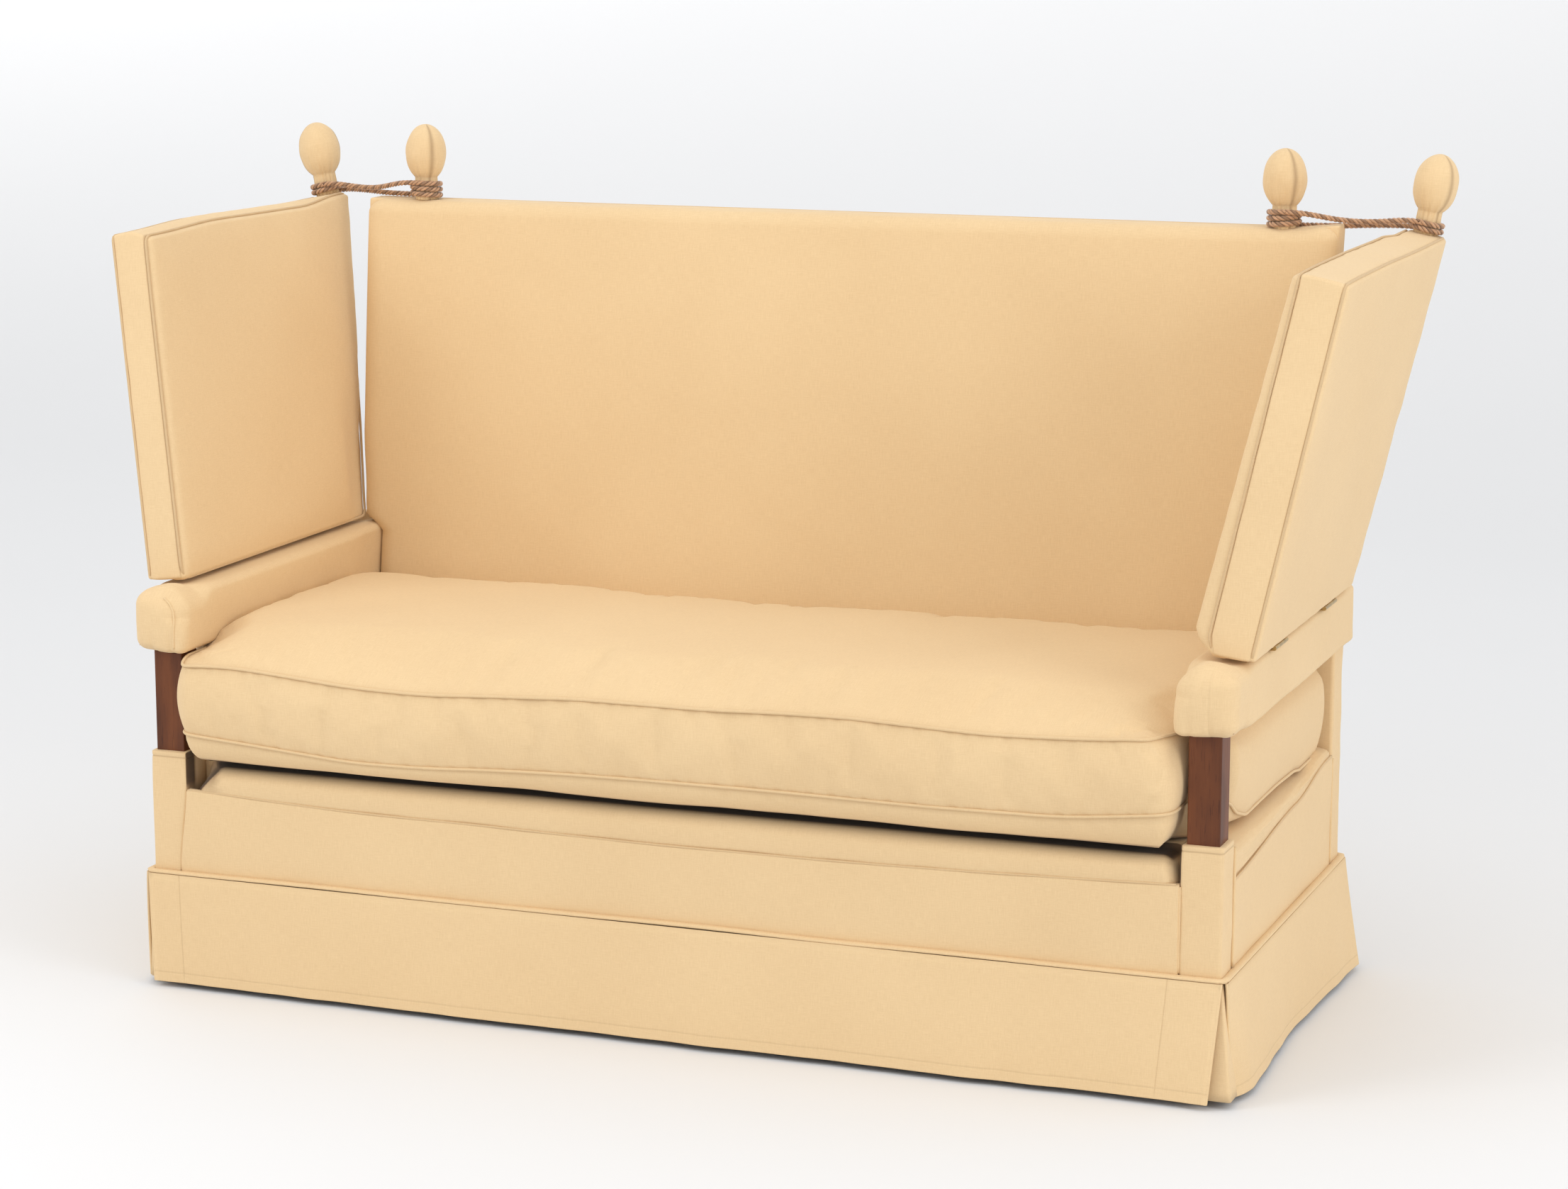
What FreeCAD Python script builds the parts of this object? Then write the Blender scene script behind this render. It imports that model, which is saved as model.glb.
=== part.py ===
import FreeCAD, Part
import math
import os
import re
import Sketcher

# Knole sofa: drop arms hinged to padded arm rails and tied to the back's finials by cords.
# Lengths are in millimetres, angles in degrees. Heights are measured from the floor, depths from the
# front plane of the covered corner posts, and half widths from the middle of the sofa.
SIZES = {
    # corner posts and their cloth covers
    "base_width": 1634.0,
    "base_depth": 706.0,
    "post_width": 46.0,
    "post_edge_round": 2.0,
    "cover_thickness": 7.0,
    "cover_foot": 160.0,
    "front_cover_rise": 12.0,
    "glide_radius": 16.0,
    "glide_height": 6.0,
    # seat frame
    "rail_thickness": 28.0,
    "seat_rail_bottom": 165.0,
    "seat_rail_height": 120.0,
    "cross_rail_drop": 35.0,
    "corner_block_reach": 60.0,
    "corner_block_inset": 30.0,
    # zigzag springs over the seat frame
    "spring_wire": 3.6,
    "spring_loop_radius": 12.5,
    "spring_half_width": 27.0,
    "spring_end_inset": 10.0,
    "spring_count": 6,
    # seat deck, its border panels and the cloth below
    "deck_thickness": 56.0,
    "deck_spring_gap": 0.4,
    "deck_edge_inset": 14.0,
    "deck_edge_height": 18.0,
    "deck_side_inset": 5.0,
    "soft_clearance": 0.3,
    "border_foot": 168.0,
    "dust_cover_thickness": 3.0,
    # padded arm rails
    "arm_rail_underside": 503.0,
    "arm_rail_height": 94.0,
    "arm_rail_side_overhang": 23.0,
    "arm_rail_width": 90.0,
    "arm_rail_overhang": 15.0,
    "arm_rail_padding": 12.0,
    "arm_rail_edge_round": 14.0,
    # back frame and its upholstery
    "back_top": 1115.0,
    "back_side_setback": 53.0,
    "back_shoulder_setback": 68.0,
    "back_shoulder_clearance": 6.0,
    "back_flare_height": 157.0,
    "back_front_setback": 5.0,
    "back_rake": 56.5,
    "back_break_height": 420.0,
    "back_lean_angle": 8.0,
    "back_skin": 4.0,
    "back_top_padding": 10.0,
    "stile_setback": 5.0,
    "stile_width": 45.0,
    "back_top_rail_height": 60.0,
    "back_lower_rail_bottom": 400.0,
    "back_lower_rail_height": 60.0,
    "back_stud_width": 44.0,
    # loose seat cushion
    "cushion_post_clearance": 2.0,
    "cushion_front_reach": 36.0,
    "cushion_crown_rise": 195.0,
    "cushion_lower_seam_rise": 43.0,
    "cushion_upper_seam_rise": 150.0,
    "cushion_corner_radius": 46.0,
    "cushion_seam_tuck": 6.0,
    "cushion_bottom_tuck": 40.0,
    "cushion_draw_in": 6.0,
    # kick pleat skirt and its welt
    "skirt_seam_height": 174.0,
    "skirt_seam_standoff": 11.0,
    "skirt_hem_standoff": 30.0,
    "skirt_hem_height": 8.0,
    "skirt_cloth": 3.0,
    "pleat_turn_under": 45.0,
    "pleat_hem_gap": 18.0,
    "pleat_insert_leg": 52.0,
    "welt_height": 6.0,
    # drop arms, measured up their own slope from the hinge line
    "arm_tilt_angle": 10.8,
    "arm_height": 514.0,
    "arm_thickness": 63.0,
    "arm_bottom_front": 47.5,
    "arm_bottom_setback": 62.0,
    "arm_top_front": 133.0,
    "arm_top_overhang": 84.5,
    "arm_skin": 4.0,
    "arm_outside_padding": 8.0,
    "arm_frame_thickness": 25.0,
    "arm_frame_rail_width": 60.0,
    "arm_edge_round": 5.0,
    "arm_face_inset": 9.0,
    "arm_foot_clearance": 3.0,
    "arm_skirting_clearance": 4.0,
    # iron eye on the rear edge of each drop arm
    "eye_height": 235.0,
    "eye_ring_radius": 5.5,
    "eye_wire_radius": 1.6,
    "eye_plate_length": 26.0,
    "eye_plate_width": 11.0,
    "eye_plate_thickness": 1.8,
    # butt hinges between rail and arm
    "hinge_length": 70.0,
    "hinge_knuckle_radius": 3.0,
    "hinge_knuckle_gap": 0.3,
    "hinge_leaf_width": 33.0,
    "hinge_leaf_thickness": 1.8,
    "hinge_leaf_setback": 0.4,
    "hinge_pin_radius": 1.5,
    "hinge_running_gap": 0.05,
    "front_hinge_depth": 200.0,
    "rear_hinge_setback": 144.0,
    # finials
    "finial_neck_radius": 18.0,
    "finial_neck_height": 36.0,
    "finial_radius": 33.0,
    "finial_widest_height": 75.0,
    "finial_height": 120.0,
    "finial_cloth": 3.0,
    "back_finial_inset": 83.0,
    "arm_finial_inset": 12.0,
    # cords round the finial necks
    "cord_diameter": 8.0,
    "cord_pitch": 9.0,
    "cord_neck_gap": 0.4,
    "cord_seat_gap": 1.0,
    "cord_lead": 16.0,
    "back_cord_half_turns": 5,
    "arm_cord_half_turns": 3,
    # cutters run this far past what they cut
    "overrun": 20.0,
}

# Shares of the cushion's height and plan at each level of its lofted form, from its flat base up:
# height between the upper seam and the crown, tuck of the sides, and tuck of the front.
CROWN_HEIGHT_SHARES = [0.18, 0.45, 0.73, 0.91, 1.0]
CROWN_SIDE_SHARES = [0.028, 0.05, 0.12, 0.27, 0.46]
CROWN_FRONT_SHARES = [0.02, 0.06, 0.14, 0.25, 0.34]
# Largest corner rounding of a level, as a share of half its depth
CORNER_LIMIT_SHARE = 0.8

# How far from its corner each bend of a strand starts, as a share of the shorter run beside it
STRAND_ROUNDING_SHARE = 0.45
# Places looked at along each half turn of a winding for its least gap to itself
SAMPLES_PER_HALF_TURN = 60

# Middle points of each strand of the right hand cord, chosen by eye: how far out, behind and above the
# foot of the back's finial each one is.
FRONT_STRAND_MIDDLE = [(44.0, -19.0, 25.0), (86.0, 3.0, 15.5), (128.0, 26.0, 12.5)]
REAR_STRAND_MIDDLE = [(44.0, 19.5, 5.6), (86.0, 19.0, 6.3), (128.0, 42.0, 6.8)]

doc = FreeCAD.newDocument("KnoleSofa")
sheet = doc.addObject("Spreadsheet::Sheet", "Sizes")
for row, (size_name, size_value) in enumerate(SIZES.items(), 1):
    sheet.set(f"A{row}", size_name)
    sheet.set(f"B{row}", str(size_value))
    sheet.setAlias(f"B{row}", size_name)
doc.recompute()

parts = []
Vector = FreeCAD.Vector
LEFT = -1
RIGHT = 1
SIDES = {"left": LEFT, "right": RIGHT}
WORD = re.compile(r"[a-z_]+")


def bound(expression):
    """Expression with each named size pointed at its cell in the sheet."""
    return WORD.sub(lambda word: f"Sizes.{word[0]}" if word[0] in SIZES else word[0], expression)


def value(expression):
    """Number that an expression in named sizes comes to."""
    return float(sheet.evalExpression(bound(expression)))


def bind(thing, setting, expression):
    """Ties one setting of an object to the sheet."""
    thing.setExpression(setting, bound(expression))


def keep(thing, label):
    """Names an object as a finished piece of the sofa."""
    thing.Label = label
    parts.append(thing)
    return thing


def block(name, x_span, y_span, z_span):
    """Box between two expressions along each axis."""
    box = doc.addObject("Part::Box", name)
    for setting, axis, (low, high) in zip(("Length", "Width", "Height"), "xyz", (x_span, y_span, z_span)):
        bind(box, setting, f"({high}) - ({low})")
        bind(box, f"Placement.Base.{axis}", low)
    return box


def sided(side, inner, outer):
    """Span across the sofa between two half widths, on one side of its middle."""
    if side == RIGHT:
        return inner, outer
    return f"-({outer})", f"-({inner})"


def group(name, things):
    """Several separate solids in one piece of the record."""
    compound = doc.addObject("Part::Compound", name)
    compound.Links = things
    return compound


def carve(name, base, cutters):
    """Base with the cutters taken away."""
    cut = doc.addObject("Part::Cut", name)
    cut.Base = base
    cut.Tool = cutters[0] if len(cutters) == 1 else group(name + "_cutters", cutters)
    return cut


def shaped(name, shape):
    """Object that holds a shape worked out from the named sizes."""
    feature = doc.addObject("Part::Feature", name)
    feature.Shape = shape
    return feature


def polygon(points):
    """Closed wire through the points."""
    return Part.makePolygon([*points, points[0]])


def prism(points, travel):
    """Solid swept by a flat outline along a vector."""
    return Part.Face(polygon(points)).extrude(travel)


def arc(start, middle, end):
    """Edge of the arc through three points."""
    return Part.Arc(start, middle, end).toShape()


def mirror_over(shape, side):
    """Shape as it is on the right, or its mirror image on the left."""
    return shape if side == RIGHT else shape.mirror(Vector(0, 0, 0), Vector(1, 0, 0))


# Places that several pieces share
ARM_TOP_REAR = "(base_depth + arm_top_overhang)"
ARM_BOTTOM_REAR = "(base_depth - arm_bottom_setback)"
ARM_FINIAL_DEPTH = f"({ARM_TOP_REAR} - arm_finial_inset)"
FRONT = f"((cushion_front_reach - {ARM_FINIAL_DEPTH} - finial_radius) / 2)"
REAR = f"({FRONT} + base_depth)"
HALF_BASE = "(base_width / 2)"
ARM_RAIL_OUT = f"({HALF_BASE} + arm_rail_side_overhang)"
ARM_RAIL_IN = f"({ARM_RAIL_OUT} - arm_rail_width)"
BACK_HALF_WIDTH = f"({ARM_RAIL_OUT} - back_side_setback)"
BACK_FRONT_TOP = "(base_depth - back_front_setback)"
BACK_REAR_TOP = "(base_depth + back_rake)"
BACK_MIDDLE = f"({FRONT} + ({BACK_FRONT_TOP} + {BACK_REAR_TOP}) / 2)"
BACK_FINIAL_OUT = f"({BACK_HALF_WIDTH} - back_finial_inset)"
POST_OUT = f"({HALF_BASE} - cover_thickness)"
POST_IN = f"({POST_OUT} - post_width)"
COVER_IN = f"({POST_IN} - cover_thickness)"
POST_FRONT = f"({FRONT} + cover_thickness)"
POST_BACK = f"({POST_FRONT} + post_width)"
REAR_POST_BACK = f"({REAR} - cover_thickness)"
REAR_POST_FRONT = f"({REAR_POST_BACK} - post_width)"
COVER_BACK = f"({POST_BACK} + cover_thickness)"
REAR_COVER_FRONT = f"({REAR_POST_FRONT} - cover_thickness)"
SEAT_RAIL_TOP = "(seat_rail_bottom + seat_rail_height)"
DECK_BOTTOM = f"({SEAT_RAIL_TOP} + spring_wire + deck_spring_gap)"
DECK_TOP = f"({DECK_BOTTOM} + deck_thickness)"
CORE_BOTTOM = "(arm_rail_underside + arm_rail_padding)"
ARM_RAIL_TOP = "(arm_rail_underside + arm_rail_height)"
CORE_TOP = f"({ARM_RAIL_TOP} - arm_rail_padding)"
CORE_IN = f"({ARM_RAIL_IN} + arm_rail_padding)"
CORE_OUT = f"({ARM_RAIL_OUT} - arm_rail_padding)"
CORE_FRONT = f"({FRONT} - arm_rail_overhang + arm_rail_padding)"
SKIRT_TOP = "(skirt_seam_height - welt_height / 2)"
HINGE_HEIGHT = f"({ARM_RAIL_TOP} + hinge_knuckle_radius)"
SHOULDER = f"({ARM_RAIL_TOP} + back_shoulder_clearance)"
FLARE = f"({SHOULDER} + back_flare_height)"


def origin_plane(body, role):
    """One of a body's own three base planes."""
    return next(plane for plane in body.Origin.OriginFeatures if plane.Role == role)


def rectangle_sketch(body, name, width, depth):
    """Sketch of a rectangle centred on the body's origin, tied to two expressions."""
    sketch = body.newObject("Sketcher::SketchObject", name)
    sketch.AttachmentSupport = [(origin_plane(body, "XY_Plane"), "")]
    sketch.MapMode = "FlatFace"
    half_x = value(width) / 2
    half_y = value(depth) / 2
    plan = ((-half_x, -half_y), (half_x, -half_y), (half_x, half_y), (-half_x, half_y))
    corners = [Vector(x, y, 0) for x, y in plan]
    for start, end in zip(corners, corners[1:] + corners[:1]):
        sketch.addGeometry(Part.LineSegment(start, end), False)
    for side in range(4):
        sketch.addConstraint(Sketcher.Constraint("Coincident", side, 2, (side + 1) % 4, 1))
        sketch.addConstraint(Sketcher.Constraint("Vertical" if side % 2 else "Horizontal", side))
    sketch.addConstraint(Sketcher.Constraint("Symmetric", 0, 1, 1, 2, -1, 1))
    across = sketch.addConstraint(Sketcher.Constraint("DistanceX", 0, 1, 0, 2, value(width)))
    along = sketch.addConstraint(Sketcher.Constraint("DistanceY", 1, 1, 1, 2, value(depth)))
    bind(sketch, f"Constraints[{across}]", width)
    bind(sketch, f"Constraints[{along}]", depth)
    return sketch


def upright(name, centre_x, centre_y, bottom, top):
    """Square post padded up from its section, with its long edges softened."""
    body = doc.addObject("PartDesign::Body", name)
    section = rectangle_sketch(body, name + "_section", "post_width", "post_width")
    pad = body.newObject("PartDesign::Pad", name + "_length")
    pad.Profile = section
    bind(pad, "Length", f"({top}) - ({bottom})")
    doc.recompute()
    long_edges = [
        f"Edge{number}"
        for number, edge in enumerate(pad.Shape.Edges, 1)
        if edge.BoundBox.ZLength > edge.BoundBox.XLength + edge.BoundBox.YLength
    ]
    softened = body.newObject("PartDesign::Fillet", name + "_edges")
    softened.Base = (pad, long_edges)
    bind(softened, "Radius", "post_edge_round")
    body.Tip = softened
    bind(body, "Placement.Base.x", centre_x)
    bind(body, "Placement.Base.y", centre_y)
    bind(body, "Placement.Base.z", bottom)
    return body


def seat_frame():
    """Posts, rails, cross rail, corner blocks and glides."""
    rail_z = ("seat_rail_bottom", SEAT_RAIL_TOP)
    between_posts = (f"-{POST_IN}", POST_IN)
    front_y = (POST_FRONT, f"{POST_FRONT} + rail_thickness")
    rear_y = (f"{REAR_POST_BACK} - rail_thickness", REAR_POST_BACK)
    keep(block("FrontSeatRail", between_posts, front_y, rail_z), "front_seat_rail")
    keep(block("RearSeatRail", between_posts, rear_y, rail_z), "rear_seat_rail")
    for word, side in SIDES.items():
        span = sided(side, f"{POST_OUT} - rail_thickness", POST_OUT)
        side_rail = block(f"SideSeatRail_{word}", span, (POST_BACK, REAR_POST_FRONT), rail_z)
        keep(side_rail, f"{word}_seat_rail")
    cross_z = ("seat_rail_bottom", f"{SEAT_RAIL_TOP} - cross_rail_drop")
    cross_x = ("-rail_thickness / 2", "rail_thickness / 2")
    cross = block("CrossRail", cross_x, (front_y[1], rear_y[0]), cross_z)
    keep(cross, "seat_cross_rail")
    rear_posts = []
    glides = []
    centre = f"({POST_OUT} - post_width / 2)"
    for word, side in SIDES.items():
        middle_x = centre if side == RIGHT else f"-{centre}"
        front_middle = f"{POST_FRONT} + post_width / 2"
        rear_middle = f"{REAR_POST_BACK} - post_width / 2"
        front_post = upright(f"FrontPost_{word}", middle_x, front_middle, "glide_height", CORE_BOTTOM)
        keep(front_post, f"{word}_front_post")
        rear_post = upright(f"RearPost_{word}", middle_x, rear_middle, "glide_height", CORE_BOTTOM)
        rear_posts.append(rear_post)
        for middle_y in (front_middle, rear_middle):
            glide = doc.addObject("Part::Cylinder", f"Glide_{word}")
            bind(glide, "Radius", "glide_radius")
            bind(glide, "Height", "glide_height")
            bind(glide, "Placement.Base.x", middle_x)
            bind(glide, "Placement.Base.y", middle_y)
            glides.append(glide)
    keep(group("RearPosts", rear_posts), "rear_posts")
    keep(group("FootGlides", glides), "foot_glides")
    blocks = []
    low = value("seat_rail_bottom + corner_block_inset")
    travel = Vector(0, 0, value("seat_rail_height - 2 * corner_block_inset"))
    reach = value("corner_block_reach")
    inner, rail_in = value(COVER_IN), value(f"{POST_OUT} - rail_thickness")
    front_corner = (value(front_y[1]), value(COVER_BACK), 1)
    rear_corner = (value(rear_y[0]), value(REAR_COVER_FRONT), -1)
    for side in SIDES.values():
        for rail_y, post_y, away in (front_corner, rear_corner):
            plan = [
                (inner - reach, rail_y),
                (inner, rail_y),
                (inner, post_y),
                (rail_in, post_y),
                (rail_in, post_y + away * reach),
            ]
            corners = [Vector(side * x, y, low) for x, y in plan]
            blocks.append(shaped("CornerBlock", prism(corners, travel)))
    keep(group("CornerBlocks", blocks), "corner_blocks")


def zigzag_spring(middle_x):
    """One flat zigzag spring: straight passes joined by half loops, from rail to rail."""
    radius = value("spring_loop_radius")
    run = value("spring_half_width") - radius
    start = value(f"{POST_FRONT} + spring_end_inset")
    passes = int((value(f"{REAR_POST_BACK} - spring_end_inset") - start) / (2 * radius))
    height = value(f"{SEAT_RAIL_TOP} + spring_wire / 2")
    edges = []
    for turn in range(passes):
        way = 1 if turn % 2 == 0 else -1
        near = start + 2 * radius * turn
        far = near + 2 * radius
        from_x, to_x = middle_x - way * run, middle_x + way * run
        edges.append(Part.LineSegment(Vector(from_x, near, height), Vector(to_x, near, height)).toShape())
        tip = Vector(to_x + way * radius, near + radius, height)
        edges.append(arc(Vector(to_x, near, height), tip, Vector(to_x, far, height)))
    wire_end = start + 2 * radius * passes
    way = 1 if passes % 2 == 0 else -1
    last = [Vector(middle_x - way * run, wire_end, height), Vector(middle_x + way * run, wire_end, height)]
    edges.append(Part.LineSegment(*last).toShape())
    first = Vector(middle_x - run, start, height)
    section = Part.Wire([Part.makeCircle(value("spring_wire / 2"), first, Vector(1, 0, 0))])
    return Part.Wire(edges).makePipeShell([section], True, False)


def plus_outline(edge_inset, side_inset, height):
    """Plan that fills the seat between the post covers and reaches out between them."""
    waist = value(COVER_IN) - edge_inset
    wide = value(POST_OUT) + value("cover_thickness") - side_inset
    front = value(FRONT) + edge_inset
    rear = value(REAR_COVER_FRONT) - edge_inset
    front_shoulder = value(COVER_BACK) + edge_inset
    back_line = back_front(value(DECK_TOP))
    quarter = [
        (waist, front),
        (waist, front_shoulder),
        (wide, front_shoulder),
        (wide, rear),
        (value(ARM_RAIL_IN), rear),
        (value(ARM_RAIL_IN), back_line),
    ]
    right = [Vector(x, y, height) for x, y in quarter]
    left = [Vector(-x, y, height) for x, y in reversed(quarter)]
    return right + left


def seat_deck():
    """Springs, padded deck, border panels, post covers and the cloth under the frame."""
    count = int(value("spring_count"))
    spacing = 2 * value(POST_IN) / (count + 1)
    middles = [spacing * (index - (count - 1) / 2) for index in range(count)]
    springs = [shaped("ZigzagSpring", zigzag_spring(middle)) for middle in middles]
    keep(group("SeatSprings", springs), "seat_springs")
    clearance = value("soft_clearance")
    side_inset = value("deck_side_inset")
    edge = value("deck_edge_inset")
    levels = [
        (clearance, side_inset, value(DECK_BOTTOM)),
        (clearance, side_inset, value(f"{DECK_TOP} - deck_edge_height")),
        (edge, side_inset + edge, value(DECK_TOP)),
    ]
    sections = [polygon(plus_outline(*level)) for level in levels]
    keep(shaped("SeatDeck", Part.makeLoft(sections, True, True)), "seat_deck_pad")
    border_z = ("border_foot", DECK_BOTTOM)
    front_border = block("FrontBorder", (f"-{COVER_IN}", COVER_IN), (FRONT, POST_FRONT), border_z)
    keep(front_border, "front_border")
    side_borders = []
    for side in SIDES.values():
        span = sided(side, POST_OUT, HALF_BASE)
        side_borders.append(block("SideBorder", span, (COVER_BACK, REAR_COVER_FRONT), border_z))
    keep(group("SideBorders", side_borders), "side_borders")
    below = ("seat_rail_bottom - dust_cover_thickness", "seat_rail_bottom")
    sheet_middle = block("DustCoverMiddle", (f"-{COVER_IN}", COVER_IN), (POST_FRONT, REAR_POST_BACK), below)
    sheet_wide = block("DustCoverWide", (f"-{POST_OUT}", POST_OUT), (COVER_BACK, REAR_COVER_FRONT), below)
    dust = doc.addObject("Part::Fuse", "DustCover")
    dust.Base = sheet_middle
    dust.Tool = sheet_wide
    keep(dust, "dust_cover")
    rails = [thing for thing in parts if thing.Label.endswith("seat_rail")]
    for word, depth, post_depth, top in (
        ("front", (FRONT, COVER_BACK), (POST_FRONT, POST_BACK), f"{DECK_TOP} + front_cover_rise"),
        ("rear", (REAR_COVER_FRONT, REAR), (REAR_POST_FRONT, REAR_POST_BACK), "arm_rail_underside"),
    ):
        sleeves = []
        for side in SIDES.values():
            tall = ("cover_foot", top)
            hole = ("cover_foot - overrun", f"{top} + overrun")
            outer = block("CoverOuter", sided(side, COVER_IN, HALF_BASE), depth, tall)
            inner = block("CoverHole", sided(side, POST_IN, POST_OUT), post_depth, hole)
            sleeves.append(carve("PostCover", outer, [inner, *rails]))
        keep(group(f"PostCovers_{word}", sleeves), f"{word}_post_covers")


def arm_rails():
    """Wooden arm rails in their padded covers, pierced by the post tops."""
    cores = []
    core_y = (CORE_FRONT, REAR_POST_BACK)
    for word, side in SIDES.items():
        core_x = sided(side, CORE_IN, CORE_OUT)
        core = block(f"ArmRailCore_{word}", core_x, core_y, (CORE_BOTTOM, CORE_TOP))
        cores.append(core)
        length = "(arm_rail_overhang + base_depth - cover_thickness)"
        body = doc.addObject("PartDesign::Body", f"ArmRailForm_{word}")
        section = rectangle_sketch(body, f"ArmRailSection_{word}", "arm_rail_width", length)
        pad = body.newObject("PartDesign::Pad", f"ArmRailHeight_{word}")
        pad.Profile = section
        bind(pad, "Length", "arm_rail_height")
        doc.recompute()
        soft_edges = []
        for number, edge in enumerate(pad.Shape.Edges, 1):
            box = edge.BoundBox
            runs_along = box.YLength > box.XLength + box.ZLength
            at_front = box.YMax < 0
            if runs_along or at_front:
                soft_edges.append(f"Edge{number}")
        rounded = body.newObject("PartDesign::Fillet", f"ArmRailRound_{word}")
        rounded.Base = (pad, soft_edges)
        bind(rounded, "Radius", "arm_rail_edge_round")
        body.Tip = rounded
        middle = f"(({ARM_RAIL_OUT} + {ARM_RAIL_IN}) / 2)"
        bind(body, "Placement.Base.x", middle if side == RIGHT else f"-{middle}")
        bind(body, "Placement.Base.y", f"{FRONT} - arm_rail_overhang + {length} / 2")
        bind(body, "Placement.Base.z", "arm_rail_underside")
        hole_y = (core_y[0], f"{core_y[1]} + overrun")
        hollow = block(f"ArmRailHollow_{word}", core_x, hole_y, (CORE_BOTTOM, CORE_TOP))
        post_x = sided(side, POST_IN, POST_OUT)
        post_z = ("arm_rail_underside - overrun", CORE_BOTTOM)
        mortises = [
            block(f"PostHole_{word}", post_x, depth, post_z)
            for depth in ((POST_FRONT, POST_BACK), (REAR_POST_FRONT, f"{REAR_POST_BACK} + overrun"))
        ]
        keep(carve(f"ArmRailPad_{word}", body, [hollow, *mortises]), f"{word}_arm_rail_pad")
    keep(group("ArmRailCores", cores), "arm_rail_cores")


def back_front(height):
    """Depth of the inside back's face at a height."""
    lean = math.tan(math.radians(value("back_lean_angle")))
    return value(f"{FRONT} + {BACK_FRONT_TOP}") - (value("back_top") - height) * lean


def back_rear(height):
    """Depth of the outside back at a height: upright, then raked above its break."""
    rise = max(0, height - value("back_break_height"))
    rake = value("back_rake / (back_top - back_break_height)")
    return value(REAR) + rise * rake


def back_slab(near, far, bottom, top):
    """Slab across the whole width between two leaning faces, each a function of height."""
    heights = [bottom, top]
    if bottom < value("back_break_height") < top:
        heights.insert(1, value("back_break_height"))
    outline = [(near(height), height) for height in heights]
    outline += [(far(height), height) for height in reversed(heights)]
    half = value(HALF_BASE)
    return prism([Vector(-half, y, z) for y, z in outline], Vector(2 * half, 0, 0))


def back_outline(skin, bottom, top):
    """Front outline of the back as a deep prism: narrow between the arm rails, shouldered, then flared."""
    narrow = value(ARM_RAIL_IN)
    shoulder = value(f"{ARM_RAIL_OUT} - back_shoulder_setback") - skin
    wide = value(BACK_HALF_WIDTH) - skin
    step = value(SHOULDER)
    flare = value(FLARE)
    right = [(narrow, bottom), (narrow, step), (shoulder, step), (wide, flare), (wide, top)]
    if bottom >= step:
        right = right[2:]
    both = right + [(-x, z) for x, z in reversed(right)]
    depth = value("base_depth")
    return prism([Vector(x, -depth, z) for x, z in both], Vector(0, 2 * depth, 0))


def back():
    """Back frame between the rear posts, its inside pad, border and outside panel."""
    skin = value("back_skin")
    top = value("back_top")
    frame_top = value("back_top - back_top_padding")
    depth = value("base_depth")

    def frame_rear(height):
        return back_rear(height) - value("cover_thickness")

    def frame_front(height):
        return frame_rear(height) - value("rail_thickness")

    def timber(name, left, right, low, high):
        outline = back_slab(frame_front, frame_rear, low, high)
        trim = Part.makeBox(right - left, 2 * depth, high - low, Vector(left, -depth, low))
        return shaped(name, outline.common(trim).removeSplitter())

    outer, width = value(f"{ARM_RAIL_IN} - stile_setback"), value("stile_width")
    foot = value(SEAT_RAIL_TOP)
    inner = outer - width
    spans = (-outer, -inner), (inner, outer)
    stiles = [timber("BackStile", left, right, foot, frame_top) for left, right in spans]
    keep(group("BackStiles", stiles), "back_stiles")
    rail_low = value("back_lower_rail_bottom")
    rail_high = rail_low + value("back_lower_rail_height")
    upper_low = frame_top - value("back_top_rail_height")
    keep(timber("BackTopRail", -inner, inner, upper_low, frame_top), "back_top_rail")
    keep(timber("BackLowerRail", -inner, inner, rail_low, rail_high), "back_lower_rail")
    half_stud = value("back_stud_width / 2")
    keep(timber("BackStud", -half_stud, half_stud, rail_high, upper_low), "back_centre_stud")

    pad_low = value(DECK_TOP)
    pad_high = top - skin
    pad_outline = back_outline(skin, pad_low, pad_high)
    pad_shape = back_slab(back_front, frame_front, pad_low, pad_high).common(pad_outline)
    panel_low = value("border_foot")
    panel_outline = back_outline(skin, panel_low, pad_high)
    panel_shape = back_slab(frame_rear, back_rear, panel_low, pad_high).common(panel_outline)
    step = value(SHOULDER)
    whole = back_slab(back_front, back_rear, step, top).common(back_outline(0, step, top))
    inside = Part.makeBox(2 * outer, 2 * depth, frame_top - step, Vector(-outer, -depth, step))
    border_shape = whole.cut([pad_shape, panel_shape, inside])
    keep(shaped("InsideBackPad", pad_shape.removeSplitter()), "inside_back_pad")
    keep(shaped("OutsideBackPanel", panel_shape.removeSplitter()), "outside_back_panel")
    keep(shaped("BackBorder", border_shape.removeSplitter()), "back_border")


def cushion_section(half_width, front, rear, height, radius, draw):
    """Rounded plan of the cushion at one height, its sides drawn in between the corners."""
    nook = radius * (1 - math.cos(math.pi / 4))
    middle = (front + rear) / 2
    edges = []
    flank = half_width - radius
    cut_off = half_width - nook
    right_front = [(flank, front), (cut_off, front + nook), (half_width, front + radius)]
    right_rear = [(half_width, rear - radius), (cut_off, rear - nook), (flank, rear)]
    left_rear = [(-x, y) for x, y in reversed(right_rear)]
    left_front = [(-x, y) for x, y in reversed(right_front)]
    corners = [
        [Vector(x, y, height) for x, y in corner] for corner in (right_front, right_rear, left_rear, left_front)
    ]
    waists = [
        Vector(half_width - draw, middle, height),
        Vector(0, rear - draw, height),
        Vector(draw - half_width, middle, height),
        Vector(0, front + draw, height),
    ]
    for index, (corner, waist) in enumerate(zip(corners, waists)):
        following = corners[(index + 1) % len(corners)]
        edges.append(arc(*corner))
        edges.append(arc(corner[2], waist, following[0]))
    return Part.Wire(edges)


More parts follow.
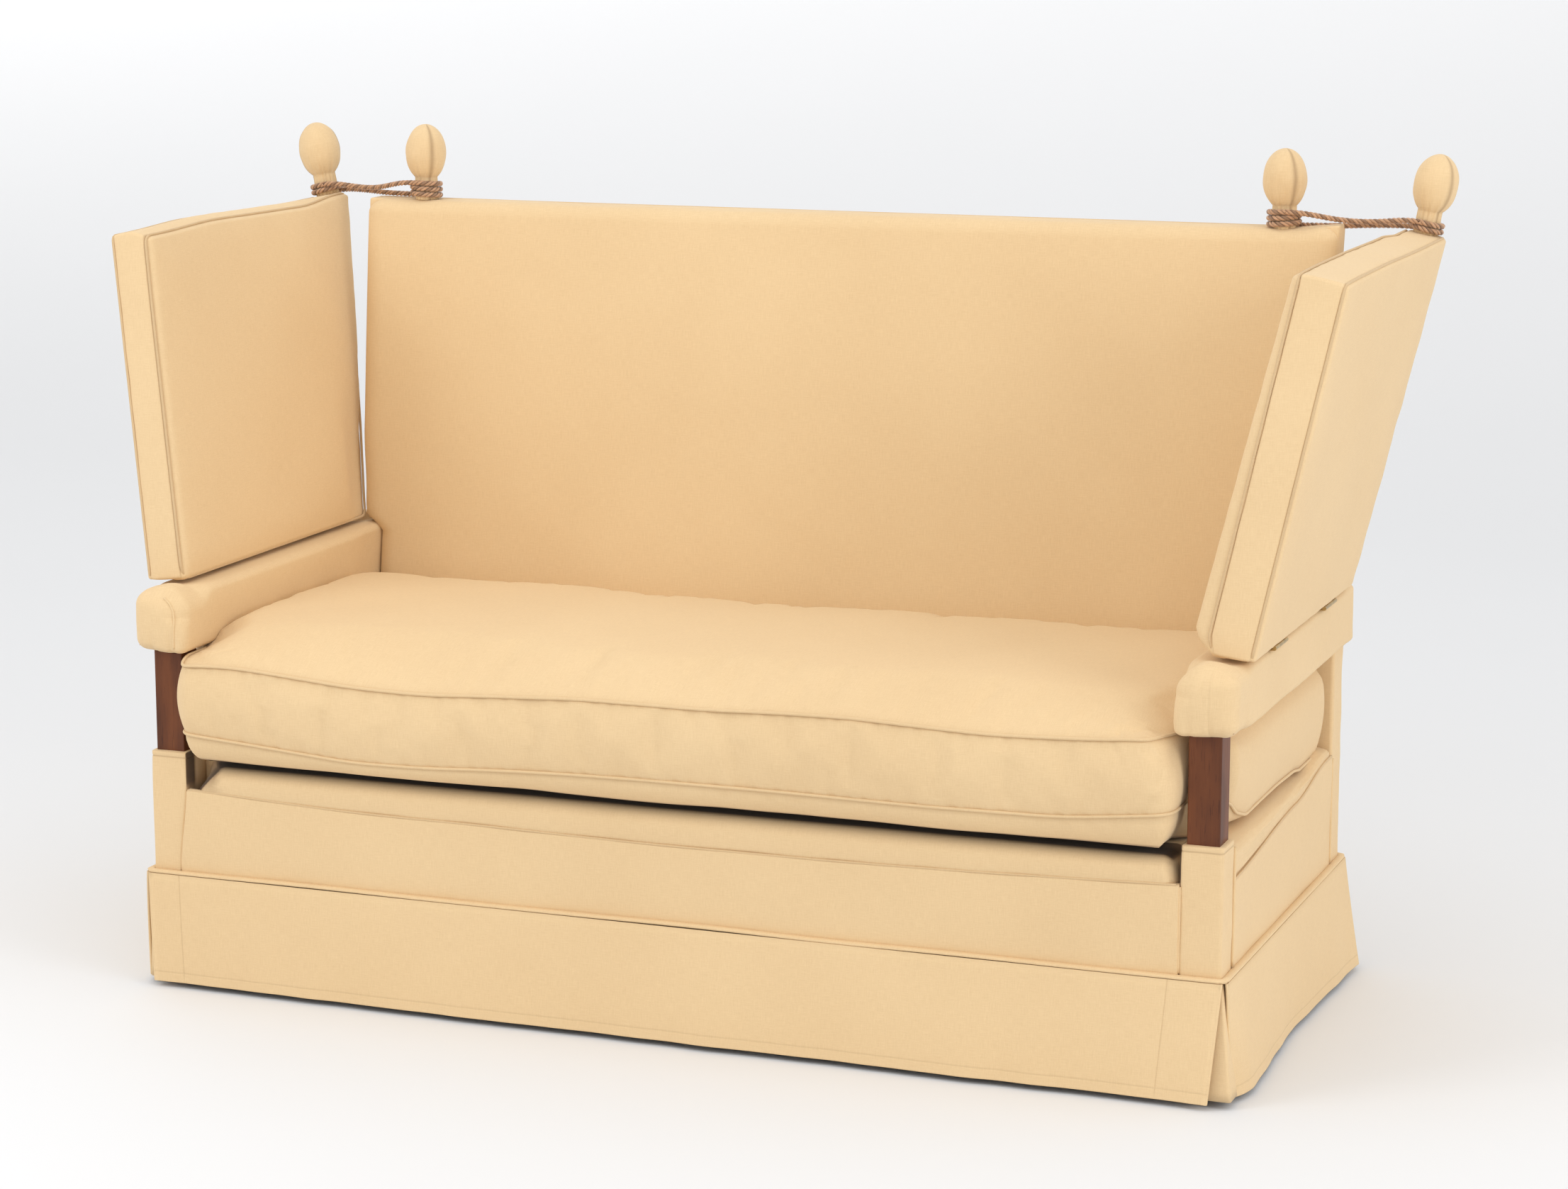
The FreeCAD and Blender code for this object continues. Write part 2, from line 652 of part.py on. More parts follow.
def seat_cushion():
    """One loose bench cushion: flat below, fullest between its piped seams, crowned above."""
    half = value(f"{POST_IN} - cushion_post_clearance")
    reach = value(f"{FRONT} - cushion_front_reach")
    clearance = value("soft_clearance")
    radius = value("cushion_corner_radius")
    draw = value("cushion_draw_in")
    tuck = value("cushion_seam_tuck")
    bottom_tuck = value("cushion_bottom_tuck")
    lower = value(f"{DECK_TOP} + cushion_lower_seam_rise")
    upper = value(f"{DECK_TOP} + cushion_upper_seam_rise")
    bottom = value(DECK_TOP) + clearance
    crown = value(f"{DECK_TOP} + cushion_crown_rise") - upper
    depth = value("base_depth")
    levels = [
        (bottom, bottom_tuck, bottom_tuck),
        (lower, tuck, tuck),
        ((lower + upper) / 2, 0, 0),
        (upper, tuck, tuck),
    ]
    shares = zip(CROWN_HEIGHT_SHARES, CROWN_SIDE_SHARES, CROWN_FRONT_SHARES)
    for up, aside, along in shares:
        levels.append((upper + crown * up, tuck + half * aside, tuck + depth * along))
    sections = []
    for height, side_tuck, end_tuck in levels:
        rear = back_front(height) - clearance - end_tuck
        half_depth = (rear - reach - end_tuck) / 2
        rounding = min(radius + side_tuck / 2, CORNER_LIMIT_SHARE * half_depth)
        plan = (half - side_tuck, reach + end_tuck, rear, height, rounding, draw)
        sections.append(cushion_section(*plan))
    keep(shaped("SeatCushion", Part.makeLoft(sections, True, True)), "seat_cushion")


def skirt_panel(half_length, top_standoff, hem_standoff, top_setback, hem_setback):
    """Flared panel facing the front, its ends turned under, as a ruled solid from hem to seam.

    half_length is to the base's corner, each standoff how far the cloth hangs clear of the base, and each
    setback how far its end stops short of the skirt's own corner.
    """
    cloth = value("skirt_cloth")
    turn = value("pleat_turn_under")
    sections = []
    for height, standoff, setback in (
        (value("skirt_hem_height"), hem_standoff, hem_setback),
        (value(SKIRT_TOP), top_standoff, top_setback),
    ):
        end = half_length + standoff - setback
        plan = [
            (-end, -standoff),
            (end, -standoff),
            (end, 2 * cloth - standoff),
            (end - turn, 2 * cloth - standoff),
            (end - turn, cloth - standoff),
            (turn - end, cloth - standoff),
            (turn - end, 2 * cloth - standoff),
            (-end, 2 * cloth - standoff),
        ]
        sections.append(polygon([Vector(x, y, height) for x, y in plan]))
    return Part.makeLoft(sections, True, True)


def pleat_insert():
    """Angle of cloth behind the slit at the right front corner, with its corner at the base's own corner."""
    cloth = value("skirt_cloth")
    gap = value("soft_clearance")
    leg = value("pleat_insert_leg")
    sections = []
    for height, standoff in (
        (value("skirt_hem_height"), value("skirt_hem_standoff")),
        (value(SKIRT_TOP), value("skirt_seam_standoff")),
    ):
        outer = standoff - 2 * cloth - gap
        inner = outer - cloth
        plan = [
            (outer - leg, -outer),
            (outer, -outer),
            (outer, leg - outer),
            (inner, leg - outer),
            (inner, -inner),
            (outer - leg, -inner),
        ]
        sections.append(polygon([Vector(x, y, height) for x, y in plan]))
    return Part.makeLoft(sections, True, True)


def skirt():
    """Four flared panels, the pleat inserts at their corners and the welt along the seam."""
    half = value(HALF_BASE)
    half_depth = value("base_depth / 2")
    centre_y = value(f"{FRONT} + base_depth / 2")
    cloth = value("skirt_cloth")
    seam, hem = value("skirt_seam_standoff"), value("skirt_hem_standoff")
    gap = value("pleat_hem_gap")
    turned = 2 * cloth + value("soft_clearance")
    long_panel = skirt_panel(half, seam, hem, turned, gap)
    short_panel = skirt_panel(half_depth, seam, hem, turned, gap)
    places = {
        "front_skirt": (long_panel, Vector(0, centre_y - half_depth, 0), 0),
        "right_skirt": (short_panel, Vector(half, centre_y, 0), 90),
        "rear_skirt": (long_panel, Vector(0, centre_y + half_depth, 0), 180),
        "left_skirt": (short_panel, Vector(-half, centre_y, 0), 270),
    }
    for label, (panel, base, turn) in places.items():
        hung = shaped(label, panel)
        hung.Placement = FreeCAD.Placement(base, FreeCAD.Rotation(Vector(0, 0, 1), turn))
        keep(hung, label)
    inserts = []
    insert = pleat_insert()
    quarters = [(half, -half_depth), (half, half_depth), (-half, half_depth), (-half, -half_depth)]
    for turn, (x, y) in zip((0, 90, 180, 270), quarters):
        piece = shaped("PleatInsert", insert)
        piece.Placement = FreeCAD.Placement(Vector(x, centre_y + y, 0), FreeCAD.Rotation(Vector(0, 0, 1), turn))
        inserts.append(piece)
    keep(group("PleatInserts", inserts), "pleat_inserts")
    welt_z = (SKIRT_TOP, f"{SKIRT_TOP} + welt_height")
    reach = f"({HALF_BASE} + skirt_seam_standoff)"
    reach_y = (f"{FRONT} - skirt_seam_standoff", f"{REAR} + skirt_seam_standoff")
    around = block("WeltOuter", (f"-{reach}", reach), reach_y, welt_z)
    hole_z = (f"{SKIRT_TOP} - overrun", f"{SKIRT_TOP} + overrun")
    within = block("WeltInner", (f"-{HALF_BASE}", HALF_BASE), (FRONT, REAR), hole_z)
    keep(carve("SkirtWelt", around, [within]), "skirt_welt")


def finial_outline(shrink):
    """Edges of the finial's outline from the rim of its foot to its tip: neck, then two quarter eggs."""
    neck = value("finial_neck_radius") - shrink
    widest = value("finial_radius") - shrink
    neck_height = value("finial_neck_height")
    level = value("finial_widest_height")
    tip = value("finial_height") - shrink
    meeting = math.acos(neck / widest)
    below = (level - neck_height) / math.sin(meeting)
    centre = Vector(0, 0, level)
    neck_edge = Part.LineSegment(Vector(neck, 0, 0), Vector(neck, 0, neck_height)).toShape()
    edges = [neck_edge]
    for height, start, end in ((below, -meeting, 0), (tip - level, 0, math.pi / 2)):
        flat = height < widest
        long_end = Vector(widest, 0, level) if flat else Vector(0, 0, level + height)
        short_end = Vector(0, 0, level + height) if flat else Vector(-widest, 0, level)
        oval = Part.Ellipse(long_end, short_end, centre)
        shift = 0 if flat else -math.pi / 2
        edges.append(Part.ArcOfEllipse(oval, start + shift, end + shift).toShape())
    return edges, neck, tip


def revolved(edges):
    """Solid of revolution of a closed outline about the upright axis."""
    outline = Part.Face(Part.Wire(Part.__sortEdges__(edges)))
    return outline.revolve(Vector(0, 0, 0), Vector(0, 0, 1), 360)


def finial_core():
    """Turned wooden finial."""
    edges, neck, tip = finial_outline(value("finial_cloth"))
    foot = Part.LineSegment(Vector(0, 0, 0), Vector(neck, 0, 0)).toShape()
    axis = Part.LineSegment(Vector(0, 0, 0), Vector(0, 0, tip)).toShape()
    return revolved([*edges, foot, axis])


def finial_cover():
    """Cloth drawn over the finial, open at its foot."""
    outer, outer_neck, outer_tip = finial_outline(0)
    inner, inner_neck, inner_tip = finial_outline(value("finial_cloth"))
    rim = Part.LineSegment(Vector(inner_neck, 0, 0), Vector(outer_neck, 0, 0)).toShape()
    pole = Part.LineSegment(Vector(0, 0, inner_tip), Vector(0, 0, outer_tip)).toShape()
    return revolved([*outer, *inner, rim, pole])


def arm_placement(side):
    """Places what is drawn upright on the hinge line at the arm's resting tilt."""
    base = Vector(side * value(ARM_RAIL_OUT), value(FRONT), value(HINGE_HEIGHT))
    return FreeCAD.Placement(base, FreeCAD.Rotation(Vector(0, 1, 0), side * value("arm_tilt_angle")))


def arm_piece(label, shape, side):
    """Keeps a piece of a drop arm, drawn for the right arm in the arm's own upright frame."""
    piece = shaped(label, mirror_over(shape, side))
    piece.Placement = arm_placement(side).multiply(piece.Placement)
    return keep(piece, label)


def arm_outline(inset, bottom, across):
    """Raked outline of a drop arm, moved in from its edges by an inset, at one place in its thickness."""
    height = value("arm_height")
    front_low, rear_low = value("arm_bottom_front"), value(ARM_BOTTOM_REAR)
    front_high, rear_high = value("arm_top_front"), value(ARM_TOP_REAR)
    top = height - inset

    def front(level):
        return front_low + (front_high - front_low) * level / height + inset

    def rear(level):
        return rear_low + (rear_high - rear_low) * level / height - inset

    corners = ((front(bottom), bottom), (rear(bottom), bottom), (rear(top), top), (front(top), top))
    return [Vector(across, depth, level) for depth, level in corners]


def hinge_leaf(side_of_axis, knuckles):
    """Leaf on one side of the hinge line, above or below it, with its knuckles and their bore.

    side_of_axis is 1 for the arm's leaf and -1 for the rail's. knuckles are (start, length, bore radius).
    """
    radius = value("hinge_knuckle_radius")
    thickness = value("hinge_leaf_thickness")
    width = value("hinge_leaf_width")
    length = value("hinge_length")
    low = radius - thickness if side_of_axis > 0 else -radius
    root_edge = radius + value("hinge_leaf_setback")
    leaf = Part.makeBox(width - root_edge, length, thickness, Vector(-width, 0, low))
    along = Vector(0, 1, 0)
    for start, reach, bore in knuckles:
        barrel = Part.makeCylinder(radius, reach, Vector(0, start, 0), along)
        tongue = Part.makeBox(root_edge, reach, thickness, Vector(-root_edge, start, low))
        leaf = leaf.fuse([barrel, tongue])
    for start, reach, bore in knuckles:
        leaf = leaf.cut(Part.makeCylinder(bore, reach, Vector(0, start, 0), along))
    return leaf.removeSplitter()


def hinges():
    """Butt hinge leaves and pins: two hinges to a side."""
    pin = value("hinge_pin_radius")
    loose = pin + value("hinge_running_gap")
    length = value("hinge_length")
    gap = value("hinge_knuckle_gap")
    third = length / 3
    fixed = hinge_leaf(-1, [(0, third, pin), (length - third, third, pin)])
    moving = hinge_leaf(1, [(third + gap, third - 2 * gap, loose)])
    stem = Part.makeCylinder(pin, length, Vector(0, 0, 0), Vector(0, 1, 0))
    middles = ("front_hinge_depth", f"{ARM_BOTTOM_REAR} - rear_hinge_setback")
    depths = [value(middle) - length / 2 for middle in middles]
    fixed_leaves = []
    pins = []
    for word, side in SIDES.items():
        for depth in depths:
            place = Vector(side * value(ARM_RAIL_OUT), value(FRONT) + depth, value(HINGE_HEIGHT))
            for shape, kept in ((fixed, fixed_leaves), (stem, pins)):
                piece = shaped(f"Hinge_{word}", mirror_over(shape, side))
                piece.Placement = FreeCAD.Placement(place, FreeCAD.Rotation())
                kept.append(piece)
        pair = Part.makeCompound([moving.translated(Vector(0, depth, 0)) for depth in depths])
        arm_piece(f"{word}_hinge_moving_leaves", pair, side)
    keep(group("HingeFixedLeaves", fixed_leaves), "hinge_fixed_leaves")
    keep(group("HingePins", pins), "hinge_pins")


def arm_eye():
    """Small iron eye on its plate, on the slope of the arm's rear edge."""
    plate_long = value("eye_plate_length")
    plate_wide = value("eye_plate_width")
    corner = Vector(-plate_wide / 2, 0, -plate_long / 2)
    plate = Part.makeBox(plate_wide, value("eye_plate_thickness"), plate_long, corner)
    ring_radius, wire = value("eye_ring_radius"), value("eye_wire_radius")
    stand = value("eye_plate_thickness") + ring_radius
    ring = Part.makeTorus(ring_radius, wire, Vector(0, stand, 0), Vector(1, 0, 0))
    eye = plate.fuse(ring).removeSplitter()
    rake = math.atan2(value(f"{ARM_TOP_REAR} - {ARM_BOTTOM_REAR}"), value("arm_height"))
    level = value("eye_height")
    depth = value(ARM_BOTTOM_REAR) + level * math.tan(rake)
    middle = Vector(-value("arm_thickness / 2"), depth, level)
    eye.Placement = FreeCAD.Placement(middle, FreeCAD.Rotation(Vector(1, 0, 0), -math.degrees(rake)))
    return eye


def drop_arms():
    """Each drop arm: wooden frame, inside pad, border strip, outside panel, finial and iron eye."""
    thickness = value("arm_thickness")
    skin = value("arm_skin")
    outer_pad = value("arm_outside_padding")
    frame_back = outer_pad + value("arm_frame_thickness")
    foot = value("arm_foot_clearance")
    panel_foot = value("arm_skirting_clearance")
    frame_edge = value("arm_frame_rail_width")
    width = value("arm_frame_thickness")
    frame_outline = arm_outline(skin, foot, -frame_back)
    opening = arm_outline(skin + frame_edge, foot + frame_edge, -frame_back)
    frame = prism(frame_outline, Vector(width, 0, 0)).cut(prism(opening, Vector(width, 0, 0)))
    rounding, inset = value("arm_edge_round"), value("arm_face_inset")
    pad_foot = -foot
    pad_sections = [
        polygon(arm_outline(skin, pad_foot, -frame_back)),
        polygon(arm_outline(skin, pad_foot, rounding - thickness)),
        polygon(arm_outline(skin + inset, pad_foot + inset, -thickness)),
    ]
    pad = Part.makeLoft(pad_sections, True, True)
    panel_sections = [
        polygon(arm_outline(skin, panel_foot, -outer_pad)),
        polygon(arm_outline(skin, panel_foot, -rounding)),
        polygon(arm_outline(skin + inset, panel_foot + inset, 0)),
    ]
    panel = Part.makeLoft(panel_sections, True, True)
    strip_width = thickness - 2 * rounding
    outer = arm_outline(0, panel_foot, rounding - thickness)
    inner = arm_outline(skin, panel_foot - skin, rounding - thickness)
    strip = prism(outer, Vector(strip_width, 0, 0)).cut(prism(inner, Vector(strip_width, 0, 0)))
    seat = Vector(-thickness / 2, value(ARM_FINIAL_DEPTH), value("arm_height"))
    eye = arm_eye()
    for word, side in SIDES.items():
        arm_piece(f"{word}_arm_frame", frame, side)
        arm_piece(f"{word}_arm_inside_pad", pad, side)
        arm_piece(f"{word}_arm_outside_panel", panel, side)
        arm_piece(f"{word}_arm_border", strip, side)
        arm_piece(f"{word}_arm_eye", eye, side)
        arm_piece(f"{word}_arm_finial_core", finial_core().translated(seat), side)
        arm_piece(f"{word}_arm_finial_cover", finial_cover().translated(seat), side)


def back_finials():
    """Finials on the two top corners of the back."""
    middle = value(BACK_MIDDLE)
    for label, form in (("cores", finial_core()), ("covers", finial_cover())):
        pair = []
        for side in SIDES.values():
            piece = shaped(f"BackFinial_{label}", form)
            place = Vector(side * value(BACK_FINIAL_OUT), middle, value("back_top"))
            piece.Placement = FreeCAD.Placement(place, FreeCAD.Rotation())
            pair.append(piece)
        keep(group(f"BackFinials_{label}", pair), f"back_finial_{label}")


def biarc(start, start_way, end, end_way):
    """Two tangent arcs from one point and direction to another."""
    chord = end - start
    both = start_way + end_way
    square = 2 * (1 - start_way.dot(end_way))
    reach = (-chord.dot(both) + math.sqrt(chord.dot(both) ** 2 + square * chord.dot(chord))) / square
    first, second = start + start_way * reach, end - end_way * reach
    joint = (first + second) / 2
    edges = []
    for near, apex, far in ((start, first, joint), (joint, second, end)):
        foot = (near + far) / 2
        half = (far - near).Length / 2
        rise = apex - foot
        sagitta = half * math.tan(math.atan2(rise.Length, half) / 2)
        edges.append(arc(near, foot + rise.normalize() * sagitta, far))
    return edges


def tube(edges, start, way):
    """Cord along a path of lines and arcs."""
    section = Part.Wire([Part.makeCircle(value("cord_diameter / 2"), start, way)])
    return Part.Wire(edges).makePipeShell([section], True, False)


def winding(half_turns, first_angle, first_height, climb):
    """Turns of cord round an upright neck, with a straight end at each side.

    Returns the tube, then its two end points with the directions out of them, all in the neck's own frame.
    """
    radius = value("finial_neck_radius + cord_neck_gap + cord_diameter / 2")
    pitch = value("cord_pitch") * climb
    slope = pitch / (2 * math.pi * radius)
    diameter = value("cord_diameter")
    quarters = 2 * half_turns

    def place(quarter):
        angle = first_angle + quarter * math.pi / 2
        return Vector(radius * math.cos(angle), radius * math.sin(angle), first_height + pitch * quarter / 4)

    def way(quarter):
        angle = first_angle + quarter * math.pi / 2
        level = 0 if quarter in (0, quarters) else slope
        return Vector(-math.sin(angle), math.cos(angle), level).normalize()

    start, end = place(0) - way(0) * diameter, place(quarters) + way(quarters) * diameter
    edges = [Part.LineSegment(start, place(0)).toShape()]
    for quarter in range(quarters):
        edges += biarc(place(quarter), way(quarter), place(quarter + 1), way(quarter + 1))
    edges.append(Part.LineSegment(place(quarters), end).toShape())
    wire = Part.Wire(edges)
    points = wire.discretize(SAMPLES_PER_HALF_TURN * half_turns)
    step = wire.Length / (len(points) - 1)
    skip = int(math.pi * radius / step)
    pairs = [(a, b) for index, a in enumerate(points) for b in points[index + skip :]]
    gap = min((a - b).Length for a, b in pairs) - diameter
    print(f"winding of {half_turns} half turns: {wire.Length:.1f} mm of cord, least gap to itself {gap:.2f} mm")
    return tube(edges, start, way(0)), (start, way(0) * -1), (end, way(quarters))


def strand(label, points):
    """Cord along straight runs joined by arcs, each starting a set share of the shorter run from its corner."""
    edges = []
    at = points[0]
    radii = []
    for before, corner, after in zip(points, points[1:], points[2:]):
        back_way, on_way = (before - corner), (after - corner)
        cut = STRAND_ROUNDING_SHARE * min(back_way.Length, on_way.Length)
        turn = math.pi - back_way.getAngle(on_way)
        radii.append(cut / math.tan(turn / 2))
        near = corner + back_way.normalize() * cut
        far = corner + on_way.normalize() * cut
        foot = (near + far) / 2
        half = (far - near).Length / 2
        middle = foot + (corner - foot).normalize() * (half * math.tan(turn / 4))
        edges.append(Part.LineSegment(at, near).toShape())
        edges.append(arc(near, middle, far))
        at = far
    edges.append(Part.LineSegment(at, points[-1]).toShape())
    wire = Part.Wire(edges)
    solid = tube(edges, points[0], points[1] - points[0])
    filled = solid.Volume / (wire.Length * math.pi * value("cord_diameter / 2") ** 2)
    rounded = ", ".join(f"{radius:.0f}" for radius in radii)
    print(f"{label}: {wire.Length:.1f} mm, radii {rounded} mm, volume over section times length {filled:.4f}")
    print("   route", [tuple(round(x, 2) for x in point) for point in points])
    return solid


def cords():
    """Cord wound round each finial's neck, and its two strands from the back to the arm."""
    pitch = value("cord_pitch")
    lead = value("cord_lead")
    low = value("cord_seat_gap") + value("cord_diameter") / 2
    quarter_turn = math.pi / 2
    back_turns, arm_turns = int(value("back_cord_half_turns")), int(value("arm_cord_half_turns"))
    back_coil, back_low, back_high = winding(back_turns, quarter_turn, low, 1)
    high = low + arm_turns * pitch / 2
    arm_coil, arm_high, arm_low = winding(arm_turns, -quarter_turn, high, -1)
    middle = value(BACK_MIDDLE)
    back_seat = Vector(value(BACK_FINIAL_OUT), middle, value("back_top"))
    arm_seat = Vector(-value("arm_thickness / 2"), value(ARM_FINIAL_DEPTH), value("arm_height"))
    tilt = arm_placement(RIGHT)

    def in_arm(point):
        return tilt.multVec(point + arm_seat)

    def arm_way(way):
        return tilt.Rotation.multVec(way)

    strands = []
    for label, near, far, route in (
        ("front strand", back_high, arm_high, FRONT_STRAND_MIDDLE),
        ("rear strand", back_low, arm_low, REAR_STRAND_MIDDLE),
    ):
        start, start_way = back_seat + near[0], near[1]
        end, end_way = in_arm(far[0]), arm_way(far[1])
        middle_points = [back_seat + Vector(*point) for point in route]
        points = [start, start + start_way * lead, *middle_points, end + end_way * lead, end]
        strands.append(strand(label, points))
    span = Part.makeCompound(strands)
    for word, side in SIDES.items():
        coil = shaped(f"BackCordWinding_{word}", mirror_over(back_coil, side))
        place = Vector(side * back_seat.x, back_seat.y, back_seat.z)
        coil.Placement = FreeCAD.Placement(place, FreeCAD.Rotation())
        keep(coil, f"{word}_back_cord_winding")
        arm_piece(f"{word}_arm_cord_winding", arm_coil.translated(arm_seat), side)
        keep(shaped(f"CordSpan_{word}", mirror_over(span, side)), f"{word}_cord_span")


seat_frame()
seat_deck()
arm_rails()
back()
seat_cushion()
skirt()
back_finials()
hinges()
drop_arms()
cords()
doc.recompute()

faults = [thing.Name for thing in doc.Objects if {"Invalid", "Error"} & set(thing.State)]
if faults:
    raise RuntimeError(f"objects that failed: {faults}")
for part in parts:
    if part.Shape.isNull() or not part.Shape.isValid() or not part.Shape.Solids:
        raise RuntimeError(f"{part.Label} is not a valid solid")

os.makedirs("parts", exist_ok=True)
whole = FreeCAD.BoundBox()
for part in parts:
    part.Shape.exportStep(f"parts/{part.Label}.step")
    whole.add(part.Shape.BoundBox)
print(f"{len(parts)} pieces, box {whole}")
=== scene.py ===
import logging
import math
from dataclasses import dataclass, field
from enum import Enum
from functools import partial
from typing import Callable, Iterable, Optional, Sequence, Union

import bpy
import numpy as np
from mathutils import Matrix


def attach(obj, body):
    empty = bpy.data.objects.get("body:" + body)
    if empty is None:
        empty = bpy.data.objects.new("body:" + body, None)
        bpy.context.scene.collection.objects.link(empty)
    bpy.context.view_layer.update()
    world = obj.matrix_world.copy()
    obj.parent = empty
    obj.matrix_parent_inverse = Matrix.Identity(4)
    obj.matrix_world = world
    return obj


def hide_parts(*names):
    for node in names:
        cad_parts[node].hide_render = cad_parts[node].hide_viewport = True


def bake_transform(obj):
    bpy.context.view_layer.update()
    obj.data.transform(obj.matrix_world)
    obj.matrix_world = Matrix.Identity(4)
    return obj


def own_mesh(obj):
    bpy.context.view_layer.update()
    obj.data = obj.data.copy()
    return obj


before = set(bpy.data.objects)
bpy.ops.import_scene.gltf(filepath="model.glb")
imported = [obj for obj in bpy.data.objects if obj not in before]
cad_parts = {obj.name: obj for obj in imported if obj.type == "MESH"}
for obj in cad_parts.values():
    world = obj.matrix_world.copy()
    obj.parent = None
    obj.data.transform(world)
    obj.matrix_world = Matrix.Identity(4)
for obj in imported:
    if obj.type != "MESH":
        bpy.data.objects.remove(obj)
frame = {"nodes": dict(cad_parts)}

log = logging.getLogger("knole_sofa")

Array = np.ndarray
Triple = tuple[float, float, float]

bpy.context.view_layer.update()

# Places that several sub-assemblies share, in metres
FRONT = -0.38775
REAR = FRONT + 0.706
HALF_BASE = 0.817
ARM_HINGE_X = 0.84
ARM_HINGE_Z = 0.6
ARM_TILT = math.radians(10.8)
BACK_TOP = 1.115
DECK_TOP = 0.345
WELT_Z = 0.174
RAIL_UNDERSIDE = 0.508
RAIL_TOP = 0.597
POST_COVER = 0.060
BESIDE_POST = POST_COVER + 0.0003
POST_COVER_X = 0.7569
PANEL_FOOT = 0.168
LINING_Z = 0.1636
BACK_FINIAL = (0.704, FRONT + 0.73175, BACK_TOP)
ARM_FINIAL = (-0.0315, 0.7785, 0.514)


class Side(Enum):
    """Which end of the sofa a piece belongs to, seen from the front."""

    LEFT = "left"
    RIGHT = "right"


def in_scene(name: str, data: bpy.types.ID) -> bpy.types.Object:
    """A new object of the scene, at the origin."""
    made = bpy.data.objects.new(name, data)
    bpy.context.scene.collection.objects.link(made)
    return made


# Camera


@dataclass(frozen=True)
class Viewpoint:
    """Where the photograph was taken from."""

    place: Triple = (2.0507, FRONT - 4.919, 1.679)
    tilt: float = math.radians(79.04)
    turn: float = math.radians(20.74)
    lens: float = 89.2

    def set_up(self) -> None:
        """Makes the camera and gives it to the scene."""
        data = bpy.data.cameras.new("photograph_camera")
        data.lens = self.lens
        data.sensor_width = 36.0
        data.clip_start = 0.05
        data.clip_end = 60.0
        camera = in_scene("photograph_camera", data)
        camera.location = self.place
        camera.rotation_euler = (self.tilt, 0.0, self.turn)
        bpy.context.scene.camera = camera


# Surfaces


@dataclass
class Surface:
    """Four-sided faces over an array of points, with a cloth coordinate for each face's corners."""

    points: Array
    quads: Array
    cloth: Array
    # Darkening at each point, kept as the seam attribute: painted shade at most places, stitching on the skirt.
    seam: Optional[Array] = None

    def at(self, x: Array, y: Array, z: Array, seam: Optional[Array] = None) -> "Surface":
        """The same faces with their points at other places."""
        return Surface(np.stack([x, y, z], 1), self.quads, self.cloth, seam)

    def moved(self, change: Callable[[Array], Array]) -> "Surface":
        """The same faces with their points passed through a function."""
        return Surface(change(self.points), self.quads, self.cloth, self.seam)

    def mirrored(self) -> "Surface":
        """The surface's reflection across the sofa's middle, its faces still outward."""
        flip = np.array([-1.0, 1.0, 1.0])
        return Surface(self.points * flip, self.quads[:, ::-1], self.cloth[:, ::-1], self.seam)

    def at_end(self, side: Side) -> "Surface":
        """A surface drawn for the right end, as it is at the given end."""
        return self if side is Side.RIGHT else self.mirrored()

    def normals(self) -> Array:
        """Unit normal at each point: the sum of its faces' crossed diagonals."""
        corner = self.points[self.quads]
        across = np.cross(corner[:, 2] - corner[:, 0], corner[:, 3] - corner[:, 1])
        total = np.zeros_like(self.points)
        for place in range(4):
            np.add.at(total, self.quads[:, place], across)
        return total / np.maximum(np.linalg.norm(total, axis=1, keepdims=True), 1e-12)

    def pushed(self, amount: Array) -> "Surface":
        """The surface with each point moved out along its normal.

        Args:
            amount: How far each point moves, in metres.

        Returns:
            The moved surface.
        """
        return Surface(self.points + self.normals() * amount[:, None], self.quads, self.cloth, self.seam)


def shaded(surface: Surface, share: float) -> Surface:
    """The surface given painted shade all over, at the given share, as its seam mark."""
    return Surface(surface.points, surface.quads, surface.cloth, np.full(len(surface.points), share))


def joined(surfaces: Sequence[Surface]) -> Surface:
    """Several surfaces as one, each still a closed shell of its own.

    Args:
        surfaces: What is put together.

    Returns:
        One surface that holds them all.
    """
    starts = np.cumsum([0] + [len(each.points) for each in surfaces[:-1]])
    seams = [each.seam if each.seam is not None else np.zeros(len(each.points)) for each in surfaces]
    return Surface(
        np.concatenate([each.points for each in surfaces]),
        np.concatenate([each.quads + start for each, start in zip(surfaces, starts)]),
        np.concatenate([each.cloth for each in surfaces]),
        np.concatenate(seams),
    )


def grid_steps(half: float, radius: float, flat: int, curve: int, extra: Iterable[float] = ()) -> Array:
    """Places along one side of a block: even between the roundings, at equal angles inside them.

    Args:
        half: Half the side's length.
        radius: Radius of each rounding.
        flat: Steps between the roundings.
        curve: Steps in each rounding.
        extra: Further places, where a crease needs points.

    Returns:
        The places in rising order, from -half to half.
    """
    turn = radius * np.tan(np.linspace(0.0, math.pi / 4, curve + 1))
    high = half - radius + turn
    middle = np.linspace(radius - half, half - radius, flat + 1)[1:-1]
    return np.unique(np.concatenate([-high, middle, high, np.fromiter(extra, float)]).round(7))


